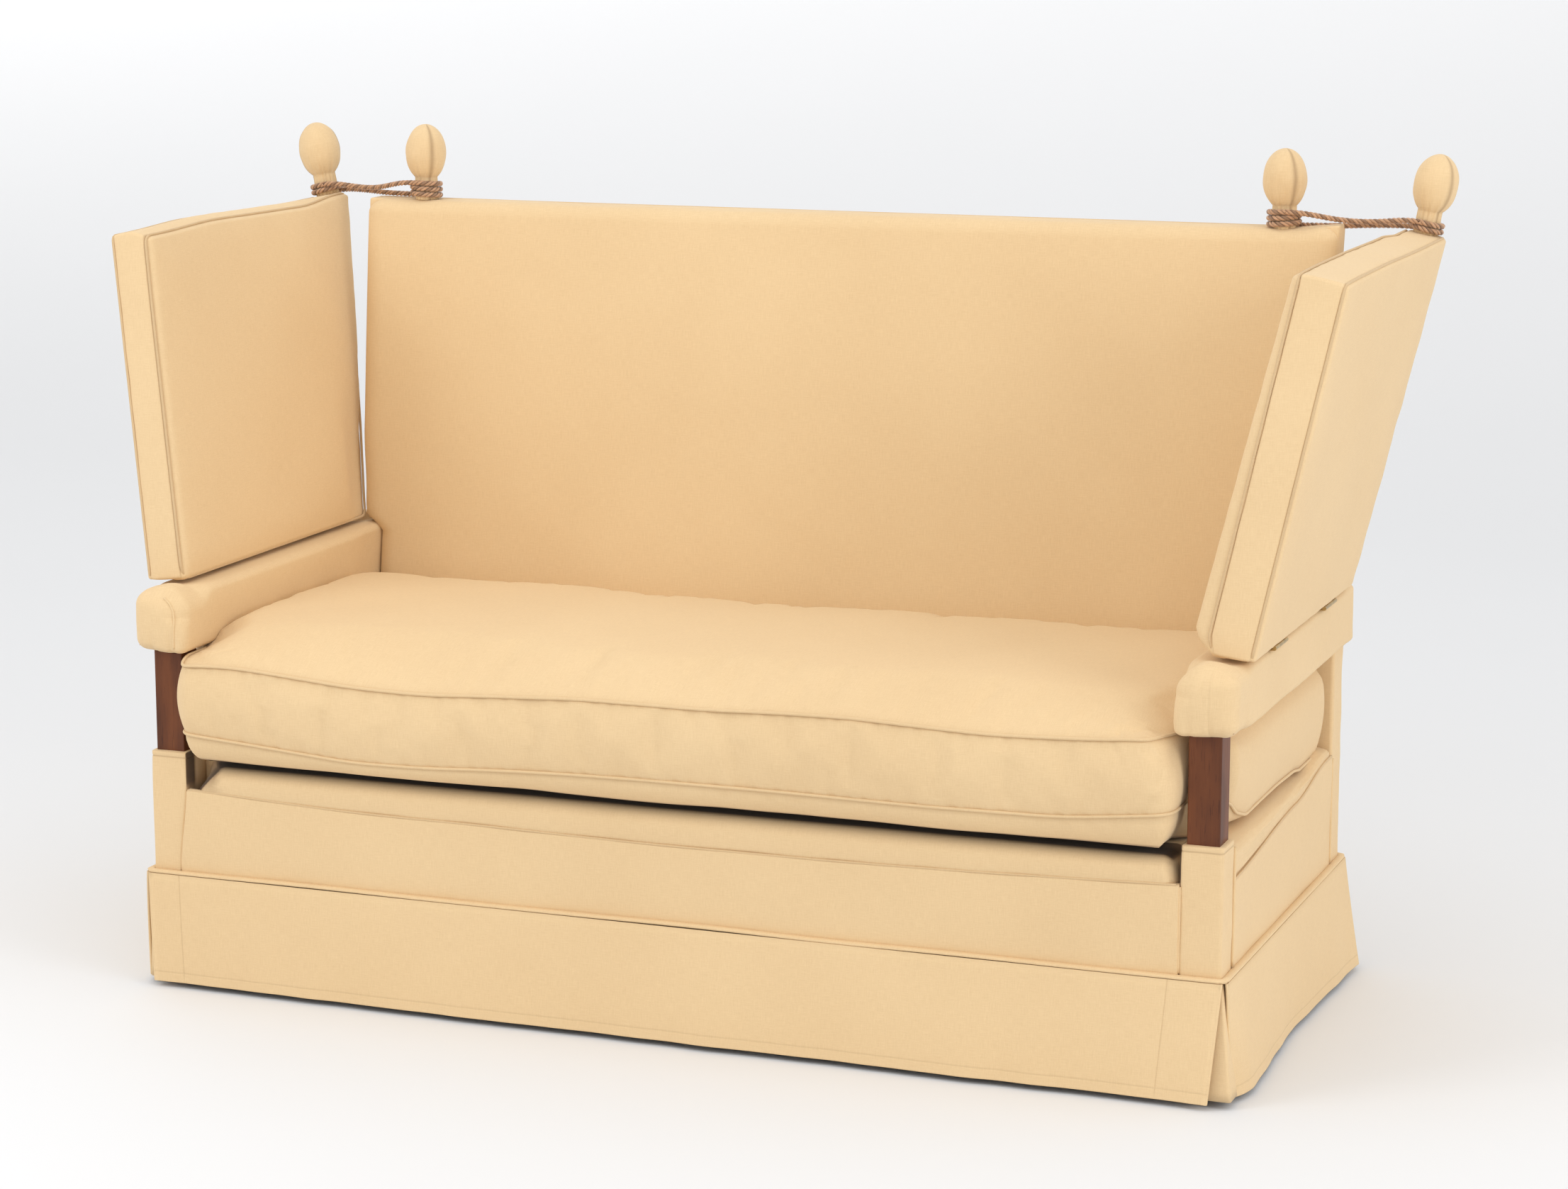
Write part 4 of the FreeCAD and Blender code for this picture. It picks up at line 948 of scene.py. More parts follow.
@dataclass
class TiedCord:
    """Twisted cord wound round a back finial's neck and a drop arm's, with two strands across the corner."""

    side: Side
    finishes: Finishes
    diameter: float = 0.008
    winding_radius: float = 0.0228
    rise: float = 0.009
    seat_height: float = 0.005
    twist: float = 0.021
    back_turns: float = 2.5
    arm_turns: float = 1.5
    steps_a_turn: int = 16
    rope_step: float = 0.0012
    ply_sides: int = 10
    pressed: float = 1.14
    # How much darker each whole ply is drawn, through the cord's seam marks.
    ply_shades: Triple = (0.0, 0.55, 0.1)
    front_route: tuple = (
        (0.712, 0.3216, 1.1425), (0.728, 0.3216, 1.1425), (0.748, 0.325, 1.140), (0.790, 0.347, 1.1305),
        (0.832, 0.370, 1.1275), (0.88526, 0.36835, 1.13347), (0.90098, 0.36835, 1.13047),
    )
    rear_route: tuple = (
        (0.712, 0.3664, 1.120), (0.728, 0.3664, 1.120), (0.748, 0.3635, 1.1206), (0.790, 0.363, 1.1213),
        (0.832, 0.386, 1.1218), (0.88273, 0.41315, 1.12021), (0.89845, 0.41315, 1.11721),
    )

    def spline(self, points: Array) -> Array:
        """Reads points off a smooth spline with the given control points.

        Args:
            points: Control points in order.

        Returns:
            Close points along the spline, as Blender gives them.
        """
        data = bpy.data.curves.new("cord_route", "CURVE")
        data.dimensions = "3D"
        data.resolution_u = 16
        run = data.splines.new("NURBS")
        run.points.add(len(points) - 1)
        run.points.foreach_set("co", np.concatenate([points, np.ones((len(points), 1))], 1).ravel())
        run.order_u = 3
        run.use_endpoint_u = True
        holder = in_scene("cord_route", data)
        depsgraph = bpy.context.evaluated_depsgraph_get()
        mesh = bpy.data.meshes.new_from_object(holder.evaluated_get(depsgraph))
        found = np.empty(len(mesh.vertices) * 3, np.float32)
        mesh.vertices.foreach_get("co", found)
        bpy.data.meshes.remove(mesh)
        bpy.data.objects.remove(holder)
        bpy.data.curves.remove(data)
        return found.reshape(-1, 3).astype(float)

    def rope(self, path: Array) -> Surface:
        """Three plies twisted round a path.

        Three equal plies touch each other and fill the cord's diameter.

        Args:
            path: Points along the cord's middle.

        Returns:
            The plies, with painted shade marked on their inner sides, and each whole ply darker by its ply
            shade.
        """
        radius = self.diameter / 2
        ply = radius / (1 + 2 / math.sqrt(3))
        reach = radius - ply
        middle = evened(path, self.rope_step)
        across, beside = frames(middle, False)
        run = along(middle)
        plies = []
        for number in range(3):
            turn = 2 * math.pi * (run / self.twist + number / 3)
            centre = middle + reach * (np.cos(turn)[:, None] * across + np.sin(turn)[:, None] * beside)
            strand = tube(centre, ply * self.pressed, self.ply_sides)
            off = strand.points.reshape(len(middle), self.ply_sides, 3) - middle[:, None]
            inner = np.linalg.norm(off, axis=2).ravel() / radius
            # Painted shade on each ply's inner side, where it presses on the others; the ply shade darkens the
            # whole ply.
            strand.seam = smooth(1.75 - inner * 1.75) + self.ply_shades[number]
            plies.append(strand)
        return joined(plies)

    def winding(self, turns: float, first_angle: float, first_height: float, rise: float) -> Array:
        """Control points of the turns round a neck, in the neck's own frame.

        They stand on a helix, with one more at each end, straight on by the cord's diameter.

        Args:
            turns: Number of turns.
            first_angle: Angle of the helix's first point.
            first_height: Its height.
            rise: Height gained in one turn.

        Returns:
            The control points.
        """
        share = np.linspace(0.0, turns, int(round(turns * self.steps_a_turn)) + 1)
        angle = first_angle + 2 * math.pi * share
        round_neck = np.stack([np.cos(angle), np.sin(angle)], 1) * self.winding_radius
        helix = np.concatenate([round_neck, (first_height + rise * share)[:, None]], 1)
        start_way = np.array([-math.sin(angle[0]), math.cos(angle[0]), 0.0])
        end_way = np.array([-math.sin(angle[-1]), math.cos(angle[-1]), 0.0])
        before, after = helix[0] - start_way * self.diameter, helix[-1] + end_way * self.diameter
        return np.concatenate([before[None], helix, after[None]])

    def build(self) -> None:
        """Makes the two windings and the two strands."""
        word, yarn, slot = self.side.value, self.finishes.cord, "twisted_cord"
        high = self.seat_height + self.arm_turns * self.rise
        back = self.spline(self.winding(self.back_turns, math.pi / 2, self.seat_height, self.rise))
        back += np.array(BACK_FINIAL)
        arm = self.spline(self.winding(self.arm_turns, -math.pi / 2, high, -self.rise))
        arm = tilted(arm + np.array(ARM_FINIAL))
        for label, body, path in (("back", "base", back), ("arm", f"{word}_arm", arm)):
            coil = piece(f"{word}_{label}_cord_turns", self.rope(path).at_end(self.side), yarn)
            on_body(coil, body, f"{word}_{label}_cord_winding")
        for label, route in (("front", self.front_route), ("rear", self.rear_route)):
            path = self.spline(np.array(route))
            strand = piece(f"{word}_{label}_cord", self.rope(path).at_end(self.side), yarn)
            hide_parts(f"{word}_cord_span")
            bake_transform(strand)


def tilted(points: Array) -> Array:
    """Points of the right arm's own upright frame, turned to its resting tilt about the hinge line."""
    cosine, sine = math.cos(ARM_TILT), math.sin(ARM_TILT)
    x = points[:, 0] * cosine + points[:, 2] * sine + ARM_HINGE_X
    z = points[:, 2] * cosine - points[:, 0] * sine + ARM_HINGE_Z
    return np.stack([x, points[:, 1] + FRONT, z], 1)


# Finials


@dataclass
class Finials:
    """Egg-shaped finials in drawn cloth, two on the back and one on each arm."""

    finishes: Finishes
    neck_radius: float = 0.018
    neck_height: float = 0.036
    widest_radius: float = 0.033
    widest_height: float = 0.075
    height: float = 0.120
    sides: int = 96
    gathers: tuple[int, int] = (17, 29)
    gather_depth: float = 0.00075
    lap_angles: tuple[float, float] = (-0.95, 2.25)
    lap_depth: float = 0.0016
    lap_rise: float = 0.30
    lap_drop: float = 0.035

    def profile(self) -> Array:
        """Outline from foot to tip: a straight neck, then two quarter ellipses that meet at the widest level.

        Returns:
            Radius and height of each point.
        """
        meeting = math.acos(self.neck_radius / self.widest_radius)
        below = (self.widest_height - self.neck_height) / math.sin(meeting)
        lower = np.linspace(-meeting, 0.0, 26)
        upper = np.linspace(0.0, math.pi / 2 - 0.02, 30)[1:]
        neck = np.stack([np.full(8, self.neck_radius), np.linspace(0.0, self.neck_height, 9)[:-1]], 1)
        low = np.stack([self.widest_radius * np.cos(lower), self.widest_height + below * np.sin(lower)], 1)
        rise = self.height - self.widest_height
        high = np.stack([self.widest_radius * np.cos(upper), self.widest_height + rise * np.sin(upper)], 1)
        return np.concatenate([neck, low, high])

    def cover(self, seed: int) -> Surface:
        """Cloth drawn over one finial.

        The gathers are a ripple round the axis, deepest at the neck. Two lapped seams run from foot to tip,
        each a quick drop behind a slow rise.

        Args:
            seed: Fixes the relief and the place of the folds.

        Returns:
            The cover, upright on the origin.
        """
        shift = np.random.default_rng(seed).uniform(0, 2 * math.pi)
        laps = [place + shift * 0.05 for place in self.lap_angles]

        def swell(angle: Array, height: Array) -> Array:
            """What the gathers and seams add to the radius."""
            low = smooth((self.widest_height + 0.012 - height) / 0.055)
            many, more = self.gathers
            ripple = np.sin(many * angle + shift + 0.9 * np.sin(3 * angle))
            gathers = self.gather_depth * low * (ripple + 0.5 * np.sin(more * angle + 2 * shift))
            around = np.stack([np.cos(angle) * 0.03, np.sin(angle) * 0.03, height], 1)
            slow = unevenness(around, 0.03, 0.0007, seed)
            lap = 0.0
            for middle in laps:
                off = (angle - middle + math.pi) % (2 * math.pi) - math.pi
                lap = lap + np.where(off < 0, np.exp(off / self.lap_rise), np.exp(-off / self.lap_drop))
            return gathers + slow + self.lap_depth * lap * fall(height, self.height, 0.02) - 0.0004

        made = revolved(self.profile(), self.sides, swell)
        # Painted shade along each lapped seam, just past its fold.
        angle = np.arctan2(made.points[:, 1], made.points[:, 0])
        mark = np.zeros(len(angle))
        for middle in laps:
            off = (angle - middle - 0.05 + math.pi) % (2 * math.pi) - math.pi
            mark = np.maximum(mark, bell(off, 0.0, 0.13))
        made.seam = 0.8 * mark
        return made

    def build(self) -> None:
        """Makes the four covers: the back's pair as one piece, then each arm's."""
        foot = np.array(BACK_FINIAL)
        right = self.cover(11).moved(lambda points: points + foot)
        left = self.cover(12).moved(lambda points: points + foot * np.array([-1, 1, 1]))
        covered("back_finial_cloth", joined([left, right]), self.finishes, "base", "back_finial_covers")
        for side, seed in ((Side.LEFT, 13), (Side.RIGHT, 14)):
            cover = self.cover(seed).moved(lambda points: tilted(points + np.array(ARM_FINIAL))).at_end(side)
            arm = f"{side.value}_arm"
            covered(f"{arm}_finial_cloth", cover, self.finishes, arm, f"{arm}_finial_cover")


# Back


@dataclass
class Back:
    """Tall straight back: tight inside face, border over the top and ends, and outside back."""

    finishes: Finishes
    lean: float = math.tan(math.radians(8.0))
    front_top: float = FRONT + 0.701
    rake: float = 0.0565 / 0.695
    shoulder_z: float = 0.603
    half_low: float = 0.7495
    half_above_rails: float = 0.778
    half_grid: float = 0.787
    rake_z: float = 0.42
    pad_depth: float = 0.0175
    edge_tuck: float = 0.0035
    panel_depth: float = 0.012
    foot_z: float = 0.168
    right_end_in: float = 0.0085
    bead: float = 0.0021

    def face(self, z: Array) -> Array:
        """Depth of the inside face at a height: it leans back by eight degrees."""
        return self.front_top - (BACK_TOP - z) * self.lean

    def outside(self, z: Array) -> Array:
        """Depth of the outside back at a height: upright at first, then raked."""
        return REAR + np.maximum(0.0, z - self.rake_z) * self.rake

    def half_width(self, z: Array) -> Array:
        """Half the width at a height: narrow between the arm rails, then flared to the top corners."""
        above = self.half_above_rails + 0.003 * ramp(z, self.shoulder_z, 0.03) + 0.009 * ramp(z, 0.63, 0.13)
        above = above + 0.009 * np.clip((z - 0.76) / 0.355, 0, 1)
        return self.half_low + (above - self.half_low) * ramp(z, RAIL_TOP, 0.006)

    def uneven_end(self, x: Array, z: Array) -> tuple[Array, Array]:
        """Places of the back with its right end drawn in a little and its top edge rising towards that end."""
        drawn = self.right_end_in * ramp(z, 0.62, 0.12) * np.clip(x / 0.78, 0, 1) ** 2
        rise = 0.003 * np.clip((x + 0.45) / 1.15, 0, 1) + 0.006 * ramp(x, 0.735, 0.05)
        return x - drawn, z + rise * ramp(z, 0.95, 0.16)

    def inside(self) -> Surface:
        """Padded inside face.

        The face is the leaning plane, less a crown that is fullest in the middle, and it rolls over at its
        edges, on a wider curve at the ends than at the top.

        Returns:
            The pad.
        """
        half = (self.half_grid, 0.02, 0.385)
        pad = rounded_block(half, (0.034, 0.017, 0.022), (90, 2, 56), 8)
        share = portion(pad.points, half, 1)
        full = crown(pad.points, half, (0, 2), 0.007) * (1 - share)
        z = pad.points[:, 2] + 0.7295
        x = pad.points[:, 0] / half[0] * self.half_width(z)
        y = self.face(z) + pad.points[:, 1] + half[1] - full
        flat = np.stack([x, z], 1)
        y += (unevenness(flat, 0.35, 0.0014, 21) + unevenness(flat, 0.09, 0.0003, 22)) * (1 - share)
        x, z = self.uneven_end(x, z)
        return pad.at(x, y, z)

    def slab(
        self, near: Callable, far: Callable, ends: tuple[float, float], inset: float, edge: float
    ) -> Surface:
        """Panel between two leaning faces.

        Args:
            near: Gives its front's depth at a height.
            far: Gives its rear's depth at a height.
            ends: Heights of its lower and upper edges.
            inset: How far inside the back's outline its ends lie.
            edge: Radius of its edges.

        Returns:
            The panel.
        """
        low, high = ends
        half = (self.half_grid, 0.02, (high - low) / 2)
        extra = ((), (), (self.rake_z - (high + low) / 2,) if low < self.rake_z else ())
        pad = rounded_block(half, (edge, edge, edge), (48, 2, 40), 3, extra)
        z = pad.points[:, 2] + (high + low) / 2
        x = pad.points[:, 0] / half[0] * (self.half_width(z) - inset)
        y = near(z) + portion(pad.points, half, 1) * (far(z) - near(z))
        x, z = self.uneven_end(x, z)
        return pad.at(x, y, z)

    def outside_bead(self) -> Surface:
        """Piping round the outside back's edge, from a hand's breadth above the floor to the top."""
        corners = [(0.7475, 0.18), (0.7475, 0.598), (0.776, 0.604), (0.787, 0.76), (0.7965, 1.1135)]
        outline = corners + [(-x, z) for x, z in reversed(corners)]
        loop = rounded_loop(outline, 0.004)
        x, z = self.uneven_end(loop[:, 0], loop[:, 1])
        path = np.stack([x, self.outside(loop[:, 1]) - self.edge_tuck, z], 1)
        return tube(path, self.bead, 8, True)

    def build(self) -> None:
        """Makes the back's three covers and its piping."""
        covered("inside_back_cloth", self.inside(), self.finishes, "base", "inside_back_pad")

        def behind_face(z: Array) -> Array:
            """Depth of the border's front edge."""
            return self.face(z) + self.pad_depth

        def before_outside(z: Array, off: float) -> Array:
            """Depth a little ahead of the outside back."""
            return self.outside(z) - off

        rear = partial(before_outside, off=self.edge_tuck)
        strip = self.slab(behind_face, rear, (self.shoulder_z, BACK_TOP), 0.0, 0.003)
        strip = strip.pushed(unevenness(strip.points, 0.12, 0.0004, 23))
        covered("back_border_cloth", strip, self.finishes, "base", "back_border")
        near = partial(before_outside, off=self.panel_depth)
        panel = self.slab(near, self.outside, (self.foot_z, BACK_TOP - 0.0025), 0.0015, 0.006)
        swell = crown(panel.points - np.array([0, 0, 0.64]), (self.half_grid, 1.0, 0.473), (0, 2), 0.0025)
        behind = panel.points[:, 1] > before_outside(panel.points[:, 2], self.panel_depth / 2)
        panel.points[:, 1] += np.where(behind, swell, 0.0)
        panel = panel.pushed(unevenness(panel.points, 0.3, 0.0008, 24))
        covered("outside_back_cloth", panel, self.finishes, "base", "outside_back_panel")
        # The outside back's piping is given painted shade all over.
        covered("outside_back_piping", shaded(self.outside_bead(), 0.3), self.finishes, "base")


# Drop arms


@dataclass
class DropArm:
    """Tall arm that drops on its hinges: two padded faces joined by a piped border strip."""

    side: Side
    finishes: Finishes
    height: float = 0.514
    front_low: float = 0.0475
    front_high: float = 0.133
    rear_low: float = 0.644
    rear_high: float = 0.7905
    rear_fullness: float = 0.004
    eye_level: float = 0.235
    bead: float = 0.0021
    pad_inner: float = -0.0625
    strip_inner: float = -0.0570
    strip_outer: float = -0.0050
    thicker: float = 0.003
    thicker_low: float = 0.0
    recess: float = 0.004
    top_fall: float = 0.0085
    wider_in_front: float = 0.009
    foot_slope: float = 0.0045
    pad_rise: float = 0.0075
    strip_crown: float = 0.0014
    outside_rise: float = 0.0028
    top_shares: tuple[float, ...] = (0.0, 0.10, 0.30, 0.55, 0.80, 1.0)
    top_lifts: tuple[float, ...] = (-0.0024, -0.0016, 0.0040, 0.0010, -0.0014, 0.0)
    seed: int = 40

    @classmethod
    def at_side(cls, side: Side, finishes: Finishes) -> "DropArm":
        """The arm at one end: the right one's inside pad is thicker, most of all low down."""
        if side is Side.LEFT:
            return cls(side, finishes)
        shares, lifts = (0.0, 0.10, 0.40, 0.70, 1.0), (-0.002, 0.0, 0.001, -0.001, 0.0)
        thick = {"thicker": 0.005, "thicker_low": 0.013, "recess": 0.006}
        return cls(side, finishes, top_shares=shares, top_lifts=lifts, seed=60, **thick)

    def outline(self, share: float, z: Array) -> Array:
        """Depth at a share of the way from the front edge to the rear one, at a height up the arm."""
        level = z / self.height
        front = self.front_low + (self.front_high - self.front_low) * level
        rear = self.rear_low + (self.rear_high - self.rear_low) * level
        drawn_in = 1 - 1.15 * bell(z, self.eye_level, 0.022)
        rear = rear + self.rear_fullness * np.sin(math.pi * np.clip(level, 0, 1)) * drawn_in
        return front + share * (rear - front)

    def settled(self, points: Array) -> Array:
        """Points of the upright arm after its stuffing has settled.

        The top edge waves, most on the left arm, whose top also falls towards the sitter. The right arm's
        front is wider towards the sitter. The foot slopes down towards the sitter, close over the rail.
        """
        x, z = points[:, 0], points[:, 2]
        share = (points[:, 1] - self.front_high) / (self.rear_high - self.front_high)
        lift = eased(share, self.top_shares, self.top_lifts, 0.05, 5)
        changed = points.copy()
        changed[:, 2] += lift * ramp(z / self.height, 0.55, 0.45)
        changed[:, 2] += self.foot_slope * fall(z, 0.03, 0.03) * x / 0.063
        if self.side is Side.LEFT:
            drop = self.top_fall * np.clip((-x - 0.037) / 0.020, 0, 1) * fall(share, 0.95, 0.2)
            changed[:, 2] -= drop * ramp(z / self.height, 0.80, 0.20)
        else:
            wider = self.wider_in_front * ramp(-x, 0.010, 0.045)
            changed[:, 0] -= wider * self.clear_of_back(points) * ramp(z, 0.001, 0.024)
        return changed

    def clear_of_back(self, points: Array) -> Array:
        """One where the arm is clear of the back, nought beside the back's end, on the left only low down."""
        ahead = 0.701 - (0.515 - points[:, 2]) * 0.1405 - points[:, 1]
        if self.side is Side.RIGHT:
            return ramp(ahead, 0.004, 0.05)
        return 1 - (1 - ramp(ahead, 0.002, 0.06)) * fall(points[:, 2], 0.25, 0.18)

    def panel(
        self,
        inner: float,
        outer: float,
        inset: float,
        foot: float,
        edges: Triple,
        flat: tuple[int, int, int],
    ) -> Surface:
        """Raked slab of the arm in its upright frame.

        Args:
            inner: Its inner face, across the arm.
            outer: Its outer face.
            inset: How far it stays inside the arm's outline.
            foot: Height of its lower edge.
            edges: Radii across, along and up.
            flat: Grid steps across, along and up.

        Returns:
            The slab.
        """
        long_half = (self.rear_low - self.front_low + self.rear_high - self.front_high) / 4 - inset
        half = ((outer - inner) / 2, long_half, (self.height - inset - foot) / 2)
        slab = rounded_block(half, edges, flat, 6)
        z = slab.points[:, 2] + half[2] + foot
        front, rear = self.outline(0.0, z) + inset, self.outline(1.0, z) - inset
        y = front + portion(slab.points, half, 1) * (rear - front)
        return slab.at(slab.points[:, 0] + (outer + inner) / 2, y, z)

    def loop(self, across: float, inset: float, radius: float, foot: float) -> Surface:
        """Piping round the arm's outline at one place in its thickness."""
        top = self.height - inset
        levels = [foot, *(np.linspace(0.12, 0.88, 6) * (top - foot) + foot), top]
        rear = [(self.outline(1.0, z) - inset, z) for z in levels]
        front = [(self.outline(0.0, z) + inset, z) for z in (foot, top)]
        line = rounded_loop([front[0], *rear, front[1]], radius)
        path = np.concatenate([np.full((len(line), 1), across), line], 1)
        return tube(path, self.bead, 8, True)

    def placed(self, surface: Surface) -> Surface:
        """A surface of the upright right arm at this arm's own end and tilt."""
        return surface.moved(self.settled).moved(tilted).at_end(self.side)

    def face(self, points: Array, rise: float, waves: float, seed: int) -> Array:
        """Fullness of a padded face: a crown, slow waves and small puckers that fade in from its seams."""
        flat = points[:, 1:]
        y, z = flat.T
        nearest = np.minimum(y - self.outline(0.0, z), self.outline(1.0, z) - y)
        nearest = np.clip(np.minimum(nearest, np.minimum(z, self.height - z)), 0, 1)
        slow = unevenness(flat, 0.22, waves, seed) * smooth(nearest / 0.06)
        pucker = unevenness(flat, 0.045, 0.0005, seed + 1) * np.exp(-nearest / 0.03)
        return rise * (1 - np.exp(-nearest / 0.035)) + slow + pucker

    def inside(self, seed: int) -> Surface:
        """Pad towards the sitter, a little recessed where it lies beside the back's end.

        Args:
            seed: Fixes its relief.

        Returns:
            The pad in the arm's upright frame.
        """
        pad = self.panel(self.pad_inner, -0.034, 0.0010, -0.0012, (0.010, 0.014, 0.008), (2, 56, 48))
        z = pad.points[:, 2]
        thick = (self.thicker + self.thicker_low * (1 - z / self.height)) * ramp(z, 0.001, 0.024)
        clear = self.clear_of_back(pad.points)
        thick = (thick + self.face(pad.points, self.pad_rise, 0.0014, seed)) * clear - self.recess * (1 - clear)
        pad.points[:, 0] -= ramp(-pad.points[:, 0], 0.050, 0.012) * thick
        return pad

    def build(self) -> None:
        """Makes the inside pad, border strip, outside panel and piping."""
        arm, seed = f"{self.side.value}_arm", self.seed
        inside = self.placed(self.inside(seed))
        covered(f"{arm}_inside_cloth", inside, self.finishes, arm, f"{arm}_inside_pad")
        strip = self.panel(self.strip_inner, self.strip_outer, 0.0, 0.003, (0.003, 0.004, 0.004), (8, 60, 54))
        across = (strip.points[:, 0] - (self.strip_inner + self.strip_outer) / 2) / 0.026
        relief = unevenness(strip.points, 0.05, 0.0004, seed + 2)
        strip = strip.pushed(self.strip_crown * (1 - across**4) + relief)
        # Painted shade along both edges of the border strip, beside its piping.
        strip.seam = 0.55 * ramp(np.abs(across), 0.88, 0.12)
        covered(f"{arm}_border_cloth", self.placed(strip), self.finishes, arm, f"{arm}_border")
        panel = self.panel(-0.012, 0.0008, 0.0010, 0.0025, (0.0045, 0.008, 0.005), (2, 56, 48))
        full = self.face(panel.points, self.outside_rise, 0.0009, seed + 3)
        panel.points[:, 0] += np.where(panel.points[:, 0] > -0.003, full, 0)
        covered(f"{arm}_outside_cloth", self.placed(panel), self.finishes, arm, f"{arm}_outside_panel")
        inner = self.loop(self.strip_inner - 0.0018, 0.0002, 0.016, 0.0012)
        outer = self.loop(self.strip_outer + 0.0008, 0.0004, 0.010, 0.0034)
        # The piping is given painted shade all over.
        covered(f"{arm}_piping", shaded(self.placed(joined([inner, outer])), 0.42), self.finishes, arm)


# Arm rails


@dataclass
class ArmRail:
    """Padded rail under a drop arm, standing forward of its post."""

    side: Side
    finishes: Finishes
    inner: float = 0.750
    outer: float = 0.834
    near: float = FRONT - 0.015
    far: float = REAR - 0.007
    edges: Triple = (0.011, 0.014, 0.009)
    front_edges: Triple = (0.020, 0.024, 0.020)
    corner: Triple = (0.034, 0.024, 0.030)
    top_crown: float = 0.0024
    inner_crown: float = 0.005
    crease_x: float = 0.797
    front_swell: float = 0.0062
    dimple_shares: tuple[float, float] = (-0.55, 0.15)
    dimple: float = 0.0016
    before_arm: float = 0.0060
    behind_arm: float = 0.0115
    bead: float = 0.0016
    seam_x: tuple[float, ...] = (0.7800, 0.7705, 0.7640, 0.7612, 0.7618, 0.7635)
    seam_z: tuple[float, ...] = (0.5905, 0.5835, 0.5725, 0.556, 0.536, 0.5165)

    def block(self, half: Sequence[float]) -> Surface:
        """Block whose edges are rounder ahead of the arm's front, the inner top one the roundest.

        Args:
            half: Half sizes across, along and up.

        Returns:
            The block, with its middle at the origin.
        """
        roundings = (self.edges, self.front_edges, self.corner)
        plain, front, corner = (rounded_block(half, radius, (44, 90, 34), 7) for radius in roundings)
        ahead = 1 - smooth((plain.points[:, 1] + half[1] - 0.045) / 0.05)
        inner = smooth((0.6 - plain.points[:, :1] / half[0]) / 1.2)
        upper = smooth((0.6 + plain.points[:, 2:] / half[2]) / 1.2)
        inner_form = plain.points + upper * (corner.points - plain.points)
        target = front.points + inner * (inner_form - front.points)
        plain.points += (target - plain.points) * ahead[:, None]
        return plain

    def rail(self) -> Surface:
        """The rail's cover.

        Its top rises, most ahead of the arm and behind it. Its inner side swells towards the cushion. Its
        front face swells and has two short dimples above its foot, and on the right a faint crease.

        Returns:
            The cover in its place at the right end.
        """
        half = ((self.outer - self.inner) / 2, (self.far - self.near) / 2, (RAIL_TOP - RAIL_UNDERSIDE) / 2)
        middle = np.array([self.outer + self.inner, self.near + self.far, RAIL_TOP + RAIL_UNDERSIDE]) / 2
        block = self.block(half)
        across, along_rail, up = block.points.T
        x, level = across / half[0], up / half[2]
        at_front = smooth((-along_rail - half[1] + 0.02) / 0.02)
        full = self.front_swell * at_front * (1 - level**2) * (1 - x**2)
        for place in self.dimple_shares:
            full = full - self.dimple * bell(x, place, 0.10) * fall(level, 0.1, 0.9) * at_front
        if self.side is Side.RIGHT:
            # The right rail's crease: a shallow groove with painted shade in it.
            groove = np.exp(-(((across + middle[0] - self.crease_x) / 0.0013) ** 2)) * at_front
            full = full - 0.0004 * groove
            block.seam = 0.10 * groove
        seed = 81 if self.side is Side.LEFT else 82
        relief = unevenness(block.points, 0.10, 0.0008, seed) + unevenness(block.points, 0.03, 0.0002, seed + 5)
        on_top = ramp(level, 0.5, 0.5)
        made = block.pushed(full + relief * (1 - 0.6 * on_top))
        ahead = smooth((half[1] - 0.11 - made.points[:, 1]) / 0.06)
        swell = self.inner_crown * ahead * ramp(-x, 0.5, 0.5)
        made.points[:, 0] -= swell * np.sqrt(np.clip(1 - level**4, 0, 1))
        depth = made.points[:, 1] + middle[1] - FRONT
        before = ramp(depth, -0.006, 0.02) * fall(depth, 0.043, 0.007)
        before *= np.clip(1 - ((across + 0.004) / 0.038) ** 2, 0, 1)
        behind = smooth((along_rail + middle[1] - FRONT - 0.648) / 0.007)
        behind *= ramp(across + middle[0], 0.782, 0.008) * fall(across + middle[0], 0.824, 0.010)
        rise = self.top_crown * np.clip(1 - ((across + 0.012) / 0.030) ** 2, 0, 1)
        made.points[:, 2] += (rise + self.before_arm * before + self.behind_arm * behind) * on_top
        return made.moved(lambda points: points + middle)

    def front_seam(self, rail: Surface) -> Surface:
        """Curved piping beside the inner corner of the front face.

        Args:
            rail: The rail's cover, whose front it follows.

        Returns:
            The piping.
        """
        line = evened(np.stack([self.seam_x, self.seam_z], 1), 0.004)
        off = np.linalg.norm(line[:, None] - rail.points[None, :, (0, 2)], axis=2)
        apart = np.where(rail.points[:, 1] < self.near + 0.03, off, 1.0)
        depth = rail.points[np.argmin(apart, axis=1), 1]
        depth = np.convolve(np.pad(depth, 2, "edge"), np.full(5, 0.2), "valid")
        return tube(np.stack([line[:, 0], depth - 0.0002, line[:, 1]], 1), self.bead, 8)

    def build(self) -> None:
        """Makes the rail's cover, the left one with a piped seam on its front face."""
        rail = self.rail()
        shells = [rail, self.front_seam(rail)] if self.side is Side.LEFT else [rail]
        name = f"{self.side.value}_arm_rail"
        covered(f"{name}_cloth", joined(shells).at_end(self.side), self.finishes, "base", f"{name}_pad")


# Seat


def lip_seam(x: Array) -> Array:
    """Height of the seam along the seat's front lip, which rises towards both ends."""
    return 0.2872 + 0.0135 * (x / 0.755) ** 2 + unevenness(np.atleast_1d(x)[:, None], 0.5, 0.0012, 91)


def side_seam(y: Array) -> Array:
    """Height of the seam along the seat's side, which rises slowly and then faster towards the rear."""
    behind = y - FRONT
    return 0.298 + 0.022 * ramp(behind, 0.06, 0.36) + 0.022 * ramp(behind, 0.42, 0.20)


def cover_edge(z: Array, left: bool) -> Array:
    """Distance from the middle to a front post cover's inner edge; the left one slants out below."""
    return POST_COVER_X + (0.013 if left else 0.0) * fall(z, 0.31, 0.14)


